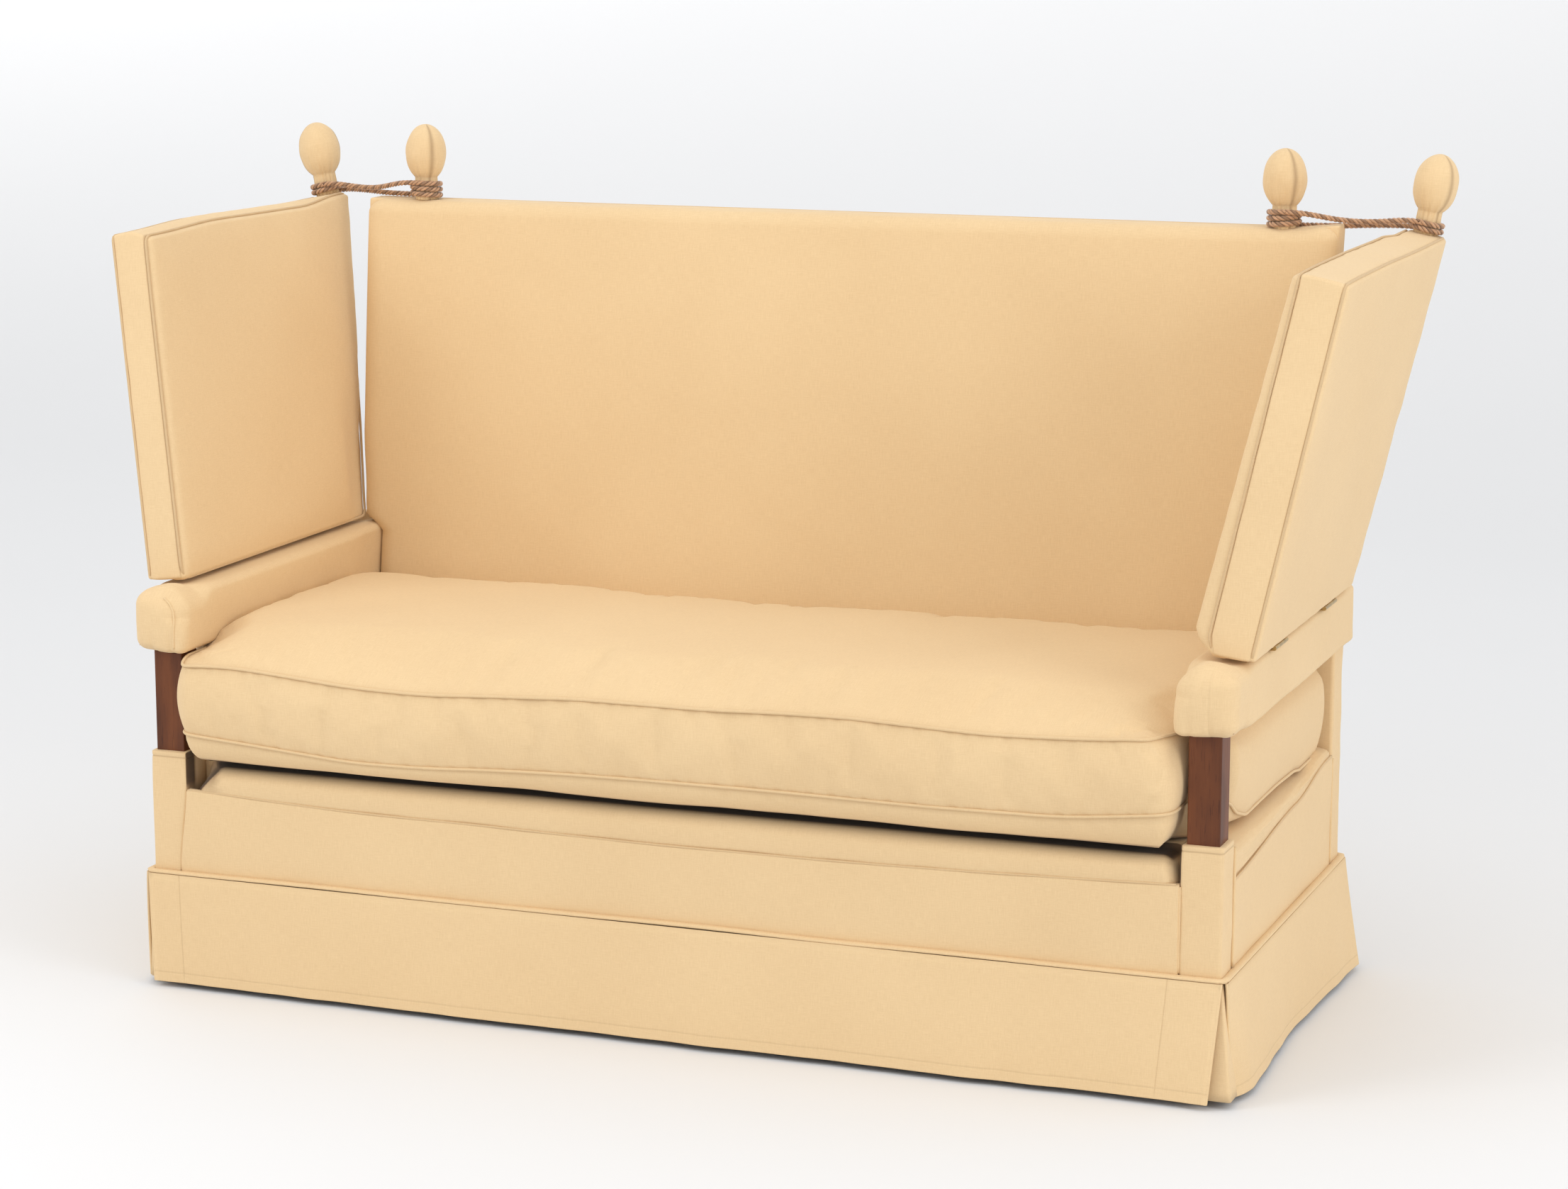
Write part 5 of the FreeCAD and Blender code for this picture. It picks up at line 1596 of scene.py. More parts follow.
@dataclass
class Seat:
    """Padded seat deck with its lip, the borders below it and the covers of the posts."""

    finishes: Finishes
    half_width: float = 0.7564
    near: float = FRONT + BESIDE_POST
    rear: float = REAR - BESIDE_POST
    bead: float = 0.0017
    tuck: float = 0.012
    overlap: float = 0.0005
    lip_drop: float = 0.009
    depth: float = 0.6
    cover_top: float = 0.357
    cover_foot: float = 0.160
    cover_hem: float = 0.0085
    joint_foot: float = 0.178
    front_joint_top: float = 0.298
    side_joint: float = 0.0028
    front_joint: float = 0.0026
    lip_swell: float = 0.0042
    border_swell: float = 0.0014
    left_end_in: float = 0.050
    right_end_in: float = 0.012
    lining_sag: float = 0.006

    def deck(self) -> Surface:
        """Deck pad between the post covers.

        Its lower edge hides behind the border's top, and its top falls towards the front. The lip's ends
        draw in, clear of the post covers. The tuck-in behind the lip and the lip's ends get painted shade.

        Returns:
            The pad.
        """
        half = (self.half_width, 0.30, 0.035)
        block = rounded_block(half, (0.020, 0.022, 0.022), (90, 28, 4), 7)
        share, depth = portion(block.points, half, 2), portion(block.points, half, 1)
        into = depth * self.depth
        near_front = 1 - smooth(into / 0.09)
        on_left = block.points[:, 0] < 0
        from_middle = np.abs(block.points[:, 0])
        ends = np.where(on_left, self.left_end_in, self.right_end_in) * share * near_front
        x = block.points[:, 0] * (1 - ends / half[0] * np.clip(from_middle / half[0], 0, 1) ** 6)
        low = lip_seam(x) - self.tuck
        top = DECK_TOP - self.lip_drop * (1 - smooth(into / 0.12))
        z = low + share * (top - low)
        y = FRONT + 0.0008 + depth * (Back(self.finishes).face(z) - 0.001 - FRONT)
        y -= self.lip_swell * np.sin(math.pi * np.clip(share * 1.15 - 0.15, 0, 1)) * (1 - depth)
        y += unevenness(np.stack([x, z], 1), 0.12, 0.0008, 92) * (1 - depth)
        # Painted shade: the tuck-in behind the lip, the lip's ends and the gap beside the left post cover are
        # drawn darker, the deepest near black.
        tuck_in = ramp(into, 0.010, 0.012) * fall(into, 0.09, 0.04) * ramp(share, 0.75, 0.2)
        at_end = ramp(from_middle, 0.742, 0.010) * near_front * np.where(on_left, 1.0, 0.25)
        beside_left = ramp(-x, 0.700, 0.012) * (1 - smooth(into / 0.05)) * share
        return block.at(x, y, z, np.maximum(1.7 * np.maximum(tuck_in, at_end), 1.3 * beside_left))

    def wing(self) -> Surface:
        """Right part of the deck between the post covers, its top a little below the deck's."""
        half = (0.06, (self.rear - self.near) / 2, 0.035)
        block = rounded_block(half, (0.030, 0.010, 0.024), (8, 40, 4), 7)
        share = portion(block.points, half, 2)
        y = block.points[:, 1] + (self.near + self.rear) / 2
        low = side_seam(y) - self.tuck
        high = np.maximum(DECK_TOP - 0.0015, low + 0.026)
        x = block.points[:, 0] + 0.8152 - half[0] + unevenness(np.stack([y, share], 1), 0.15, 0.0008, 99)
        return block.at(x, y, low + share * (high - low))

    def front_border(self) -> Surface:
        """Panel between the post covers, from the welt up to the lip's seam."""
        half = (self.half_width, 0.006, 0.06)
        block = rounded_block(half, (0.0012, 0.003, 0.004), (90, 2, 12), 4)
        share = portion(block.points, half, 2)
        x = block.points[:, 0]
        z = PANEL_FOOT + share * (lip_seam(x) + self.overlap - PANEL_FOOT)
        x = x / half[0] * np.where(x < 0, cover_edge(z, True), cover_edge(z, False))
        y = FRONT + 0.0045 + block.points[:, 1] - self.border_swell * np.sin(math.pi * np.clip(share, 0, 1))
        y += unevenness(np.stack([x, z], 1), 0.16, 0.0009, 93)
        # Painted shade along the top edge, where it meets the lip's seam.
        return block.at(x, y, z, 0.45 * ramp(share, 0.972, 0.028))

    def side_border(self, side: Side) -> Surface:
        """Panel at one end, from the welt up to the side's seam."""
        half = (0.006, (self.rear - self.near) / 2, 0.06)
        block = rounded_block(half, (0.003, 0.0012, 0.004), (2, 44, 12), 4)
        y = block.points[:, 1] + (self.near + self.rear) / 2
        share = portion(block.points, half, 2)
        z = PANEL_FOOT + share * (side_seam(y) + self.overlap - PANEL_FOOT)
        x = HALF_BASE - 0.0055 + block.points[:, 0]
        x += unevenness(np.stack([y, z], 1), 0.14, 0.0009, 94 if side is Side.LEFT else 95)
        # Painted shade along the top edge, where it meets the side's seam.
        return block.at(x, y, z, 0.45 * ramp(share, 0.972, 0.028)).at_end(side)

    def post_cover(self, side: Side, front: bool) -> Surface:
        """Sleeve round one post, with the groove of a stitched hem below a front one's top edge.

        Args:
            side: Which end.
            front: Whether it is a front post's.

        Returns:
            The sleeve and the piping where it meets the borders.
        """
        low, top = self.cover_foot, self.cover_top if front else RAIL_UNDERSIDE - self.overlap
        half = (POST_COVER / 2, POST_COVER / 2, (top - low) / 2)
        hem = half[2] - self.cover_hem
        extra = ((), (), (hem - 0.002, hem - 0.001, hem, hem + 0.001, hem + 0.002))
        block = rounded_block(half, (0.006, 0.006, 0.0022), (6, 6, 22), 4, extra)
        groove = bell(block.points[:, 2], hem, 0.0011) if front else np.zeros(len(block.points))
        seed = 96 + (side is Side.LEFT) + 2 * front
        block = block.pushed(-0.0009 * groove + unevenness(block.points, 0.05, 0.0006, seed))
        y = FRONT + half[1] if front else REAR - half[1]
        middle = np.array([HALF_BASE - half[0], y, (top + low) / 2])
        sleeve = block.moved(lambda points: points + middle)
        # Painted shade in the hem's groove.
        sleeve.seam = 0.6 * groove
        edge_y = FRONT + POST_COVER - 0.0003 if front else REAR - POST_COVER + 0.0003
        high = top - (0.012 if front else 0.17)
        corner = np.array([[HALF_BASE + 0.0002, edge_y, self.joint_foot], [HALF_BASE + 0.0002, edge_y, high]])
        shells = [sleeve, tube(evened(corner, 0.01), self.side_joint, 10)]
        if front:
            # Painted shade on the front part of a front cover's inner side, from the lip's height up.
            inner_side = (np.abs(block.points[:, 0] + half[0]) < 0.002) * (block.points[:, 1] < 0)
            sleeve.seam = np.maximum(sleeve.seam, 1.6 * inner_side * ramp(sleeve.points[:, 2], 0.285, 0.03))
            slant = cover_edge(sleeve.points[:, 2], side is Side.LEFT) - POST_COVER_X
            sleeve.points[:, 0] += slant * np.clip((HALF_BASE - sleeve.points[:, 0]) / POST_COVER, 0, 1)
            z = np.linspace(self.joint_foot, self.front_joint_top, 14)
            inner = np.stack([cover_edge(z, side is Side.LEFT) - 0.0002, np.full(14, FRONT + 0.0022), z], 1)
            shells.append(tube(inner, self.front_joint, 10))
        return joined(shells).at_end(side)

    def seams(self) -> Surface:
        """Piping along the lip's seam at the front and at both ends."""
        x = np.linspace(-0.7525, 0.7525, 160)
        front = np.stack([x, np.full(len(x), FRONT - 0.0004), lip_seam(x)], 1)
        y = np.linspace(FRONT + 0.064, REAR - 0.064, 90)
        side = np.stack([np.full(len(y), HALF_BASE - 0.0002), y, side_seam(y)], 1)
        right = tube(side, self.bead, 8)
        return joined([tube(front, self.bead, 8), right, right.mirrored()])

    def lining(self) -> Surface:
        """Thin sheet under the frame, sagging between the rails, and its two narrow ends between the posts."""
        near, rear = FRONT + 0.008, REAR - 0.008
        half = (0.7565, (rear - near) / 2, 0.0008)
        sheet = rounded_block(half, (0.0007,) * 3, (40, 24, 1), 1)
        x, y, z = sheet.points.T
        sag = self.lining_sag * (1 - (x / half[0]) ** 2) * (1 - (y / half[1]) ** 2)
        sheet = sheet.at(x, y + (near + rear) / 2, z + LINING_Z - sag)
        near, rear = self.near + 0.0002, self.rear - 0.0002
        end = rounded_block((0.0262, (rear - near) / 2, 0.0008), (0.0007,) * 3, (4, 30, 1), 1)
        right = end.moved(lambda points: points + np.array([0.7832, (near + rear) / 2, LINING_Z]))
        return joined([sheet, joined([right, right.mirrored()])])

    def build(self) -> None:
        """Makes the deck, borders, post covers, piping and lining."""
        wing = self.wing()
        deck = joined([self.deck(), wing, wing.mirrored()])
        ends = joined([self.side_border(side) for side in Side])
        covered("seat_deck_cloth", deck, self.finishes, "base", "seat_deck_pad")
        covered("front_border_cloth", self.front_border(), self.finishes, "base", "front_border")
        covered("side_border_cloth", ends, self.finishes, "base", "side_borders")
        for word, is_front in (("front", True), ("rear", False)):
            pair = joined([self.post_cover(side, is_front) for side in Side])
            covered(f"{word}_post_cloth", pair, self.finishes, "base", f"{word}_post_covers")
        # The lip's piping is given painted shade all over.
        covered("seat_lip_piping", shaded(self.seams(), 0.3), self.finishes, "base")
        lining = piece("dust_cover_cloth", self.lining(), self.finishes.lining)
        on_body(lining, "base", "dust_cover")


# Seat cushion


@dataclass
class SeatCushion:
    """Loose bench cushion: boxed and piped, crowned above and rounded below."""

    finishes: Finishes
    half_width: float = 0.7625
    front: float = FRONT - 0.03575
    rear: float = FRONT + 0.60625
    front_corner: float = 0.034
    rear_corner: float = 0.024
    bottom: float = 0.3455
    crown_top: float = 0.5395
    side_bulge: float = 0.048
    lean: float = 0.025
    bead: float = 0.0023
    side_seam_z: float = 0.5042
    upper_x: tuple[float, ...] = (
        -0.765, -0.742, -0.66, -0.58, -0.466, -0.353, -0.242, -0.11, 0.084,
        0.189, 0.294, 0.40, 0.498, 0.6, 0.696, 0.735, 0.765,
    )
    upper_z: tuple[float, ...] = (
        0.4935, 0.4965, 0.4995, 0.4935, 0.4845, 0.4825, 0.489, 0.4955, 0.4955,
        0.4995, 0.501, 0.497, 0.494, 0.4975, 0.502, 0.5055, 0.504,
    )
    lower_x: tuple[float, ...] = (
        -0.765, -0.736, -0.66, -0.584, -0.469, -0.356, -0.243,
        -0.13, -0.024, 0.189, 0.397, 0.599, 0.698, 0.756,
    )
    lower_z: tuple[float, ...] = (
        0.396, 0.393, 0.388, 0.3825, 0.3735, 0.3750, 0.3815,
        0.3855, 0.387, 0.388, 0.3860, 0.3885, 0.3985, 0.4055,
    )
    droop_depths: tuple[float, ...] = (-0.035, 0.060, 0.095, 0.130, 0.185, 0.265, 0.365, 0.485, 0.605)
    droops: tuple[float, ...] = (0.0, 0.0, -0.008, -0.030, -0.046, -0.045, -0.045, -0.049, -0.052)
    side_level: float = 0.3
    base_rise: float = 0.0035
    base_inset: float = 0.034
    ear: float = 0.033
    sat_hollow: float = 0.006
    # Reach of the painted shade beside the seams.
    seam_mark: float = 0.004

    def upper(self, x: Array, y: Array) -> Array:
        """Height of the upper seam: wavy along the front, even along the sides."""
        wavy = eased(x, self.upper_x, self.upper_z)
        return wavy + (self.side_seam_z - wavy) * smooth((y - FRONT + 0.034) / 0.045)

    def lower(self, x: Array, y: Array) -> Array:
        """Height of the lower seam: it follows the front's sag and droops past the front posts."""
        wavy = eased(x, self.lower_x, self.lower_z)
        drooped = eased(y - FRONT, self.droop_depths, self.droops, 0.012) * ramp(np.abs(x), 0.66, 0.08)
        return np.maximum(wavy + drooped - 0.012 * smooth((y - FRONT - 0.46) / 0.1), self.bottom + 0.005)

    def bulge(self, y: Array) -> Array:
        """How far the side stands out between the front and rear posts."""
        depth = y - FRONT
        return self.side_bulge * ramp(depth, 0.056, 0.036) * fall(depth, 0.643, 0.032)

    def ears(self, x: Array, y: Array) -> Array:
        """How far the rear corners squeeze back past the ends of the back."""
        return self.ear * ramp(np.abs(x), 0.750, 0.03) * smooth((y - FRONT - 0.52) / 0.08)

    def ceiling(self, x: Array) -> Array:
        """Height that the top stays under, a millimetre below the arm rails' rounded inner edges."""
        across, up = 0.011, 0.009
        off = np.clip((0.750 + across - np.abs(x)) / across, 0.0, 1.0)
        under = RAIL_UNDERSIDE + up * (1 - np.sqrt(1 - off**2)) - 0.001
        return np.where(np.abs(x) < 0.7485, 1.0, under)

    def rim(self, flat: Array) -> tuple[Array, Array]:
        """Rounded rectangle of the cushion in plan.

        Args:
            flat: Points on the sharp rectangle, from its middle.

        Returns:
            The same points on the rounded one, and the directions outward from them.
        """
        half = np.array([self.half_width, (self.rear - self.front) / 2])
        corner = np.where(flat[:, 1:] > 0, self.rear_corner, self.front_corner)
        core = np.clip(flat, corner - half, half - corner)
        away = flat - core
        span = np.maximum(np.linalg.norm(away, axis=1, keepdims=True), 1e-9)
        return core + away / span * corner, away / span

    def steps(self, bend: float, count: int) -> Array:
        """Grid places from -1 to 1: evenly spaced between the bends, and closer beyond them."""
        end = np.linspace(bend, 1, 14)
        return np.concatenate([-end[::-1], np.linspace(-bend, bend, count)[1:-1], end])

    def foot(self, y: Array) -> Array:
        """Height of the base, which rises a little towards the front."""
        return self.bottom + self.base_rise * smooth((0.10 - y + FRONT) / 0.10)

    def leaning(self, x: Array, y: Array) -> Array:
        """How far the front right corner's upper part leans in."""
        return self.lean * ramp(x, 0.60, 0.15) * smooth((0.06 - y + FRONT) / 0.08)

    def form(self) -> Surface:
        """The whole cushion.

        Its parameters are a place in plan and a level. From the flat base the side runs out and up to the
        lower seam and bulges to the upper one, and the top rises from there to its crown.

        Returns:
            The closed form, with painted shade along its seams and on its underside.
        """
        columns, rows = self.steps(0.9, 119), self.steps(0.82, 45)
        parts = [np.linspace(0, self.side_level, 7), np.linspace(self.side_level, 1.0, 17)]
        levels = np.unique(np.concatenate(parts))
        block = lattice([columns, rows, levels])
        a, b, level = block.points.T
        ring = np.maximum(np.maximum(np.abs(a), np.abs(b)), 1e-9)
        mid_y, half_y = (self.front + self.rear) / 2, (self.rear - self.front) / 2
        rim, outward = self.rim(np.stack([a / ring * self.half_width, b / ring * half_y], 1))
        rim_y = rim[:, 1] + mid_y
        seam_low, seam_high = self.lower(rim[:, 0], rim_y), self.upper(rim[:, 0], rim_y)
        low_part = level < self.side_level
        below = np.clip(level / self.side_level, 0, 1)
        above = np.clip((level - self.side_level) / (1 - self.side_level), 0, 1)
        full = np.sin(math.pi * above) ** 0.8
        slack = 0.006 + 0.006 * outward[:, 0] ** 2
        in_low = self.base_inset * (1 - np.sin(math.pi / 2 * below))
        inset = slack + np.where(low_part, in_low, -(slack + 0.001) * full)
        base = self.foot(rim_y)
        lower_side = base + (seam_low - base) * (1 - np.cos(math.pi / 2 * below))
        side = np.where(low_part, lower_side, seam_low + (seam_high - seam_low) * above)
        swelling = np.where(low_part, 0.55 + 0.45 * below, 1.0) * (1 - 0.40 * ramp(above, 0.70, 0.30))
        push = self.bulge(rim_y) * swelling * np.sign(rim[:, 0]) * np.abs(outward[:, 0]) ** 2
        x = rim[:, 0] - outward[:, 0] * inset + push
        x -= self.leaning(x, rim_y) * above
        y = rim_y - outward[:, 1] * inset
        cap_high, cap_low = level > 0.9999, level < 0.0001
        x = np.where(cap_high | cap_low, x * ring, x)
        y = np.where(cap_high | cap_low, mid_y + (y - mid_y) * ring, y)
        y += self.ears(x, y)
        from_side, from_end = (1 - np.abs(a)) * self.half_width, (1 - np.abs(b)) * half_y
        beside = 0.070 - 0.046 * smooth((y - FRONT + 0.015) / 0.12)
        full = (1 - np.exp(-from_side / beside)) * (1 - np.exp(-from_end / np.where(b < 0, 0.068, 0.05)))
        top = seam_high + (self.crown_top - seam_high) * full / 0.98
        sat = self.sat_hollow * bell(x, 0.0, 0.20) * bell(y - FRONT, 0.57, 0.12)
        top = np.minimum(np.minimum(top, self.crown_top + 0.001) - sat, self.ceiling(x))
        z = np.where(cap_low, self.foot(y), np.where(cap_high, top, side))
        # Painted shade near both seams, and darker still on the underside, the deepest near black.
        near_high = np.where(cap_high, np.minimum(from_side, from_end), np.abs(side - seam_high))
        near_low = np.where(cap_low, 1.0, np.abs(side - seam_low))
        mark = np.exp(-near_high / self.seam_mark) + np.exp(-near_low / self.seam_mark)
        mark = np.maximum(np.clip(mark, 0, 1) * 0.3, 1.7 * fall(level, 0.10, 0.08))
        return block.at(x, y, z, mark)

    def bead_path(self, high: bool) -> Array:
        """Line of one seam's piping, from the rim's rounded rectangle and the seam's height.

        Args:
            high: Whether it is the upper seam.

        Returns:
            A closed line of points.
        """
        half = np.array([self.half_width, (self.rear - self.front) / 2])
        corners = half * np.array([(-1, -1), (1, -1), (1, 1), (-1, 1)])
        rim, outward = self.rim(rounded_loop(corners, 0.002, 0.005))
        y = rim[:, 1] + (self.front + self.rear) / 2
        push = self.bulge(y) * (0.60 if high else 1.0) * np.sign(rim[:, 0]) * np.abs(outward[:, 0]) ** 2
        slack = 0.0045 + 0.006 * outward[:, 0] ** 2
        x = rim[:, 0] - outward[:, 0] * slack + push
        if high:
            x -= self.leaning(x, y)
        seam = self.upper if high else self.lower
        return np.stack([x, y - outward[:, 1] * slack + self.ears(x, y), seam(rim[:, 0], y)], 1)

    def build(self) -> None:
        """Makes the cushion and its two lines of piping."""
        form = self.form()
        loose = 1 - ramp(form.seam, 0.02, 0.2) * (form.points[:, 2] > self.bottom + 0.02)
        on_base = form.points[:, 2] < self.bottom + 0.004
        relief = unevenness(form.points, 0.30, 0.0022, 101) + unevenness(form.points, 0.11, 0.0008, 102)
        form = form.pushed(np.where(on_base, 0.0, relief * 0.6 * loose))
        cushion = piece("seat_cushion_cloth", form, self.finishes.cloth)
        free = loose * smooth((form.points[:, 2] - self.bottom - 0.012) / 0.03)
        free = free * smooth((0.752 - np.abs(form.points[:, 0])) / 0.02)
        settle(cushion, free, pressure=4.0, growth=0.014, cap=0.012)
        on_body(cushion, "cushion", "seat_cushion")
        beads = joined([tube(self.bead_path(high), self.bead, 8, True) for high in (True, False)])
        # The cushion's piping is given painted shade all over.
        piping = covered("seat_cushion_piping", shaded(beads, 0.12), self.finishes, "cushion")
        for soft in (cushion, piping):
            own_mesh(soft)


def settle(made: bpy.types.Object, free: Array, pressure: float, growth: float, cap: float) -> None:
    """Lets a padded cover settle as cloth: it is blown up from inside and held along its seams.

    Args:
        made: The cover.
        free: How freely each point moves, from nought to one.
        pressure: Air pressure inside.
        growth: How much larger the cloth is cut, as a share.
        cap: Greatest distance that a point may move.
    """
    mesh = made.data
    start = np.empty(len(mesh.vertices) * 3, np.float32)
    mesh.vertices.foreach_get("co", start)
    start = start.reshape(-1, 3).astype(float)
    group = made.vertex_groups.new(name="held")
    group.add(np.flatnonzero(free < 0.2).tolist(), 1.0, "REPLACE")
    cloth = made.modifiers.new("settling", "CLOTH")
    settings = cloth.settings
    settings.quality, settings.mass = 5, 0.3
    settings.use_pressure, settings.uniform_pressure_force = True, pressure
    settings.vertex_group_mass = "held"
    settings.effector_weights.gravity = 0.0
    settings.shrink_min = -growth
    last_frame = 20
    cloth.point_cache.frame_start, cloth.point_cache.frame_end = 1, last_frame
    scene = bpy.context.scene
    for moment in range(1, last_frame + 1):
        scene.frame_set(moment)
    after = made.evaluated_get(bpy.context.evaluated_depsgraph_get()).to_mesh()
    moved = np.empty_like(start).astype(np.float32).ravel()
    after.vertices.foreach_get("co", moved)
    made.modifiers.remove(cloth)
    made.vertex_groups.remove(group)
    scene.frame_set(1)
    shift = moved.reshape(-1, 3) - start
    far = np.linalg.norm(shift, axis=1, keepdims=True)
    shift *= np.minimum(1.0, cap / np.maximum(far, 1e-9)) * free[:, None]
    mesh.vertices.foreach_set("co", (start + shift).astype(np.float32).ravel())
    mesh.update()
    log.info("%s settled: %.1f mm at most, %.1f mm on average", made.name, far.max() * 1000, far.mean() * 1000)


# Skirt


@dataclass(frozen=True)
class SkirtSide:
    """What is special to one panel of the skirt."""

    word: str
    half_length: float
    seed: int
    places: tuple[float, ...]
    pushes: tuple[float, ...]
    base: tuple[float, float]
    setback: float = 0.034
    joins: tuple[float, ...] = ()


@dataclass
class Skirt:
    """Four flared panels with turned ends, the pleats' inner cloth, and the welt above."""

    finishes: Finishes
    seam_out: float = 0.011
    hem_out: float = 0.030
    hem_z: float = 0.009
    top_z: float = 0.1712
    thickness: float = 0.0018
    turn: float = 0.045
    fold: float = 0.0022
    seam_setback: float = 0.0063
    stitch_up: float = 0.0895
    hem_rows: tuple[float, ...] = (0.008, 0.075, 0.082, 0.089, 0.097, 0.104)
    join_half: float = 0.8157
    pleat_leg: float = 0.052
    pleat_gap: float = 0.0075
    pleat_radius: float = 0.004
    welt_out: float = 0.0052
    slow_ripple: float = 0.0042
    quick_ripple: float = 0.0011

    def sides(self) -> list[SkirtSide]:
        """The four panels in the order of quarter turns, with how far each hem stands out along it."""
        middle, half_depth = (FRONT + REAR) / 2, (REAR - FRONT) / 2
        right_at = (-0.353, -0.330, -0.295, -0.12, 0.0, 0.15, 0.353)
        right_out = (-0.014, -0.001, 0.006, -0.006, -0.010, -0.004, 0.012)
        left_at, left_out = (-0.353, 0.0, 0.30, 0.353), (0.0, -0.012, -0.006, -0.017)
        ends = (-0.8, 0.8)
        return [
            SkirtSide("front", HALF_BASE, 111, ends, (-0.009, 0.009), (0.0, FRONT), 0.036, (-0.766, 0.742)),
            SkirtSide("right", half_depth, 113, right_at, right_out, (HALF_BASE, middle)),
            SkirtSide("rear", HALF_BASE, 115, ends, (0.0, 0.0), (0.0, REAR)),
            SkirtSide("left", half_depth, 117, left_at, left_out, (-HALF_BASE, middle)),
        ]

    def panel(self, part: SkirtSide) -> Surface:
        """One panel facing the front, drawn round the base's own corner-to-corner line.

        Its first parameter runs along the cloth, from one turned-in end round the fold to the other. Its
        second runs up from the hem. The face leans out towards the hem and ripples most there.

        Args:
            part: Which panel.

        Returns:
            The panel as a thin closed sheet, its hem's stitching marked.
        """
        fold = self.fold
        near = np.linspace(-fold, fold, 5)
        near_joins = [place / self.join_half + off for place in part.joins for off in near]
        face = np.unique(np.concatenate([np.linspace(-1, 1, 221), near_joins]))
        flap = np.linspace(1, 0, 8)[:-1]
        bend = np.linspace(0, math.pi, 9)
        end_count = len(flap) + len(bend)
        rows = np.unique(np.concatenate([np.linspace(0, 1, 15), self.hem_rows]))
        count = len(face) + 2 * end_count
        block = lattice([np.linspace(0, 1, count), rows, np.array([0.0, 1.0])])
        number = np.rint(block.points[:, 0] * (count - 1)).astype(int)
        up, layer = block.points[:, 1], block.points[:, 2]
        flat = np.full(len(flap), math.pi)
        share = np.concatenate([np.full(end_count, -1.0), face, np.full(end_count, 1.0)])[number]
        inward = np.concatenate([flap, np.zeros(len(face) + 2 * len(bend)), flap[::-1]])[number]
        around = np.concatenate([flat, bend[::-1], np.zeros(len(face)), bend, flat])[number]
        z = self.hem_z + up * (self.top_z - self.hem_z)
        end = part.half_length + (self.seam_out - self.seam_setback) * up
        end += (self.hem_out - part.setback) * (1 - up)
        x = share * (end - fold - inward * (self.turn - fold))
        x += np.sign(share) * fold * np.sin(around) * (np.abs(share) > 0.999)
        run = np.stack([x, 0.25 * z], 1)
        ripple = unevenness(run, 0.42, self.slow_ripple, part.seed)
        ripple = ripple + unevenness(run, 0.11, self.quick_ripple, part.seed + 1)
        hem_push = (ripple + eased(x, part.places, part.pushes, 0.012)) * (1 - up) ** 1.3
        y = fold * (1 - np.cos(around)) - self.seam_out * up - self.hem_out * (1 - up) - hem_push
        stitch = bell(up, self.stitch_up, 0.006) * (np.abs(around) < 0.1)
        for place in part.joins:
            on_join = np.exp(-(((share - place / self.join_half) / 0.0010) ** 2))
            stitch = np.maximum(stitch, 1.3 * on_join * (up > 0.01))
        thick = self.thickness * layer + 0.0005 * stitch * (1 - layer)
        points = np.stack([x - np.sign(share) * np.sin(around) * thick, y + np.cos(around) * thick, z], 1)
        cloth = block.cloth[:, ::-1] * np.array([1.7, 0.17])
        return Surface(points, block.quads[:, ::-1], cloth, 0.24 * stitch)

    def insert(self, flare: float) -> Surface:
        """Cloth behind a corner's slit: an angle of two legs with its corner folded.

        Args:
            flare: How far its hem stands out.

        Returns:
            The angle as a thin closed sheet.
        """
        straight, radius = self.pleat_leg - self.pleat_radius, self.pleat_radius
        leg = np.linspace(0.12, 1, 12)
        places = np.concatenate([-leg[::-1], np.linspace(-0.1, 0.1, 7), leg])
        block = lattice([places, np.linspace(0, 1, 13), np.array([0.0, 1.0])])
        s, up, layer = block.points.T
        out = self.seam_out * up + flare * (1 - up) - self.pleat_gap
        bend = np.clip(s / 0.1, -1, 1) * math.pi / 4 + math.pi / 4
        x = out - radius + radius * np.sin(bend) - np.clip(-s - 0.1, 0, 1) / 0.9 * straight
        y = -(out - radius + radius * np.cos(bend)) + np.clip(s - 0.1, 0, 1) / 0.9 * straight
        low = self.hem_z + 0.002
        thick = self.thickness * layer
        z = low + up * (self.top_z - low)
        points = np.stack([x - np.sin(bend) * thick, y + np.cos(bend) * thick, z], 1)
        return Surface(points, block.quads[:, ::-1], block.cloth[:, ::-1] * np.array([0.055, 0.16]))

    def welt(self) -> Surface:
        """Flat piping round the base along the skirt's seam."""
        half_x, near, far = HALF_BASE + self.welt_out, FRONT - self.welt_out, REAR + self.welt_out
        line = rounded_loop([(-half_x, near), (half_x, near), (half_x, far), (-half_x, far)], 0.006, 0.008)
        path = np.concatenate([line, np.full((len(line), 1), WELT_Z)], 1)
        path[:, 2] += unevenness(line, 0.4, 0.0008, 131)
        return tube(path, 0.0060, 12, True, np.array([0.0, 0.0, 1.0]), 0.52)

    def build(self) -> None:
        """Makes the panels, pleat cloths and welt."""
        for quarter, part in enumerate(self.sides()):
            shape = self.turned(self.panel(part), part.base, quarter)
            panel = covered(f"{part.word}_skirt_cloth", shape, self.finishes, "base", f"{part.word}_skirt")
        corners = [(HALF_BASE, FRONT), (HALF_BASE, REAR), (-HALF_BASE, REAR), (-HALF_BASE, FRONT)]
        flares = (self.hem_out, self.hem_out, self.hem_out, self.hem_out / 2)
        pairs = enumerate(zip(flares, corners))
        inserts = [self.turned(self.insert(flare), corner, turn) for turn, (flare, corner) in pairs]
        covered("pleat_insert_cloth", joined(inserts), self.finishes, "base", "pleat_inserts")
        covered("skirt_welt_piping", self.welt(), self.finishes, "base", "skirt_welt")

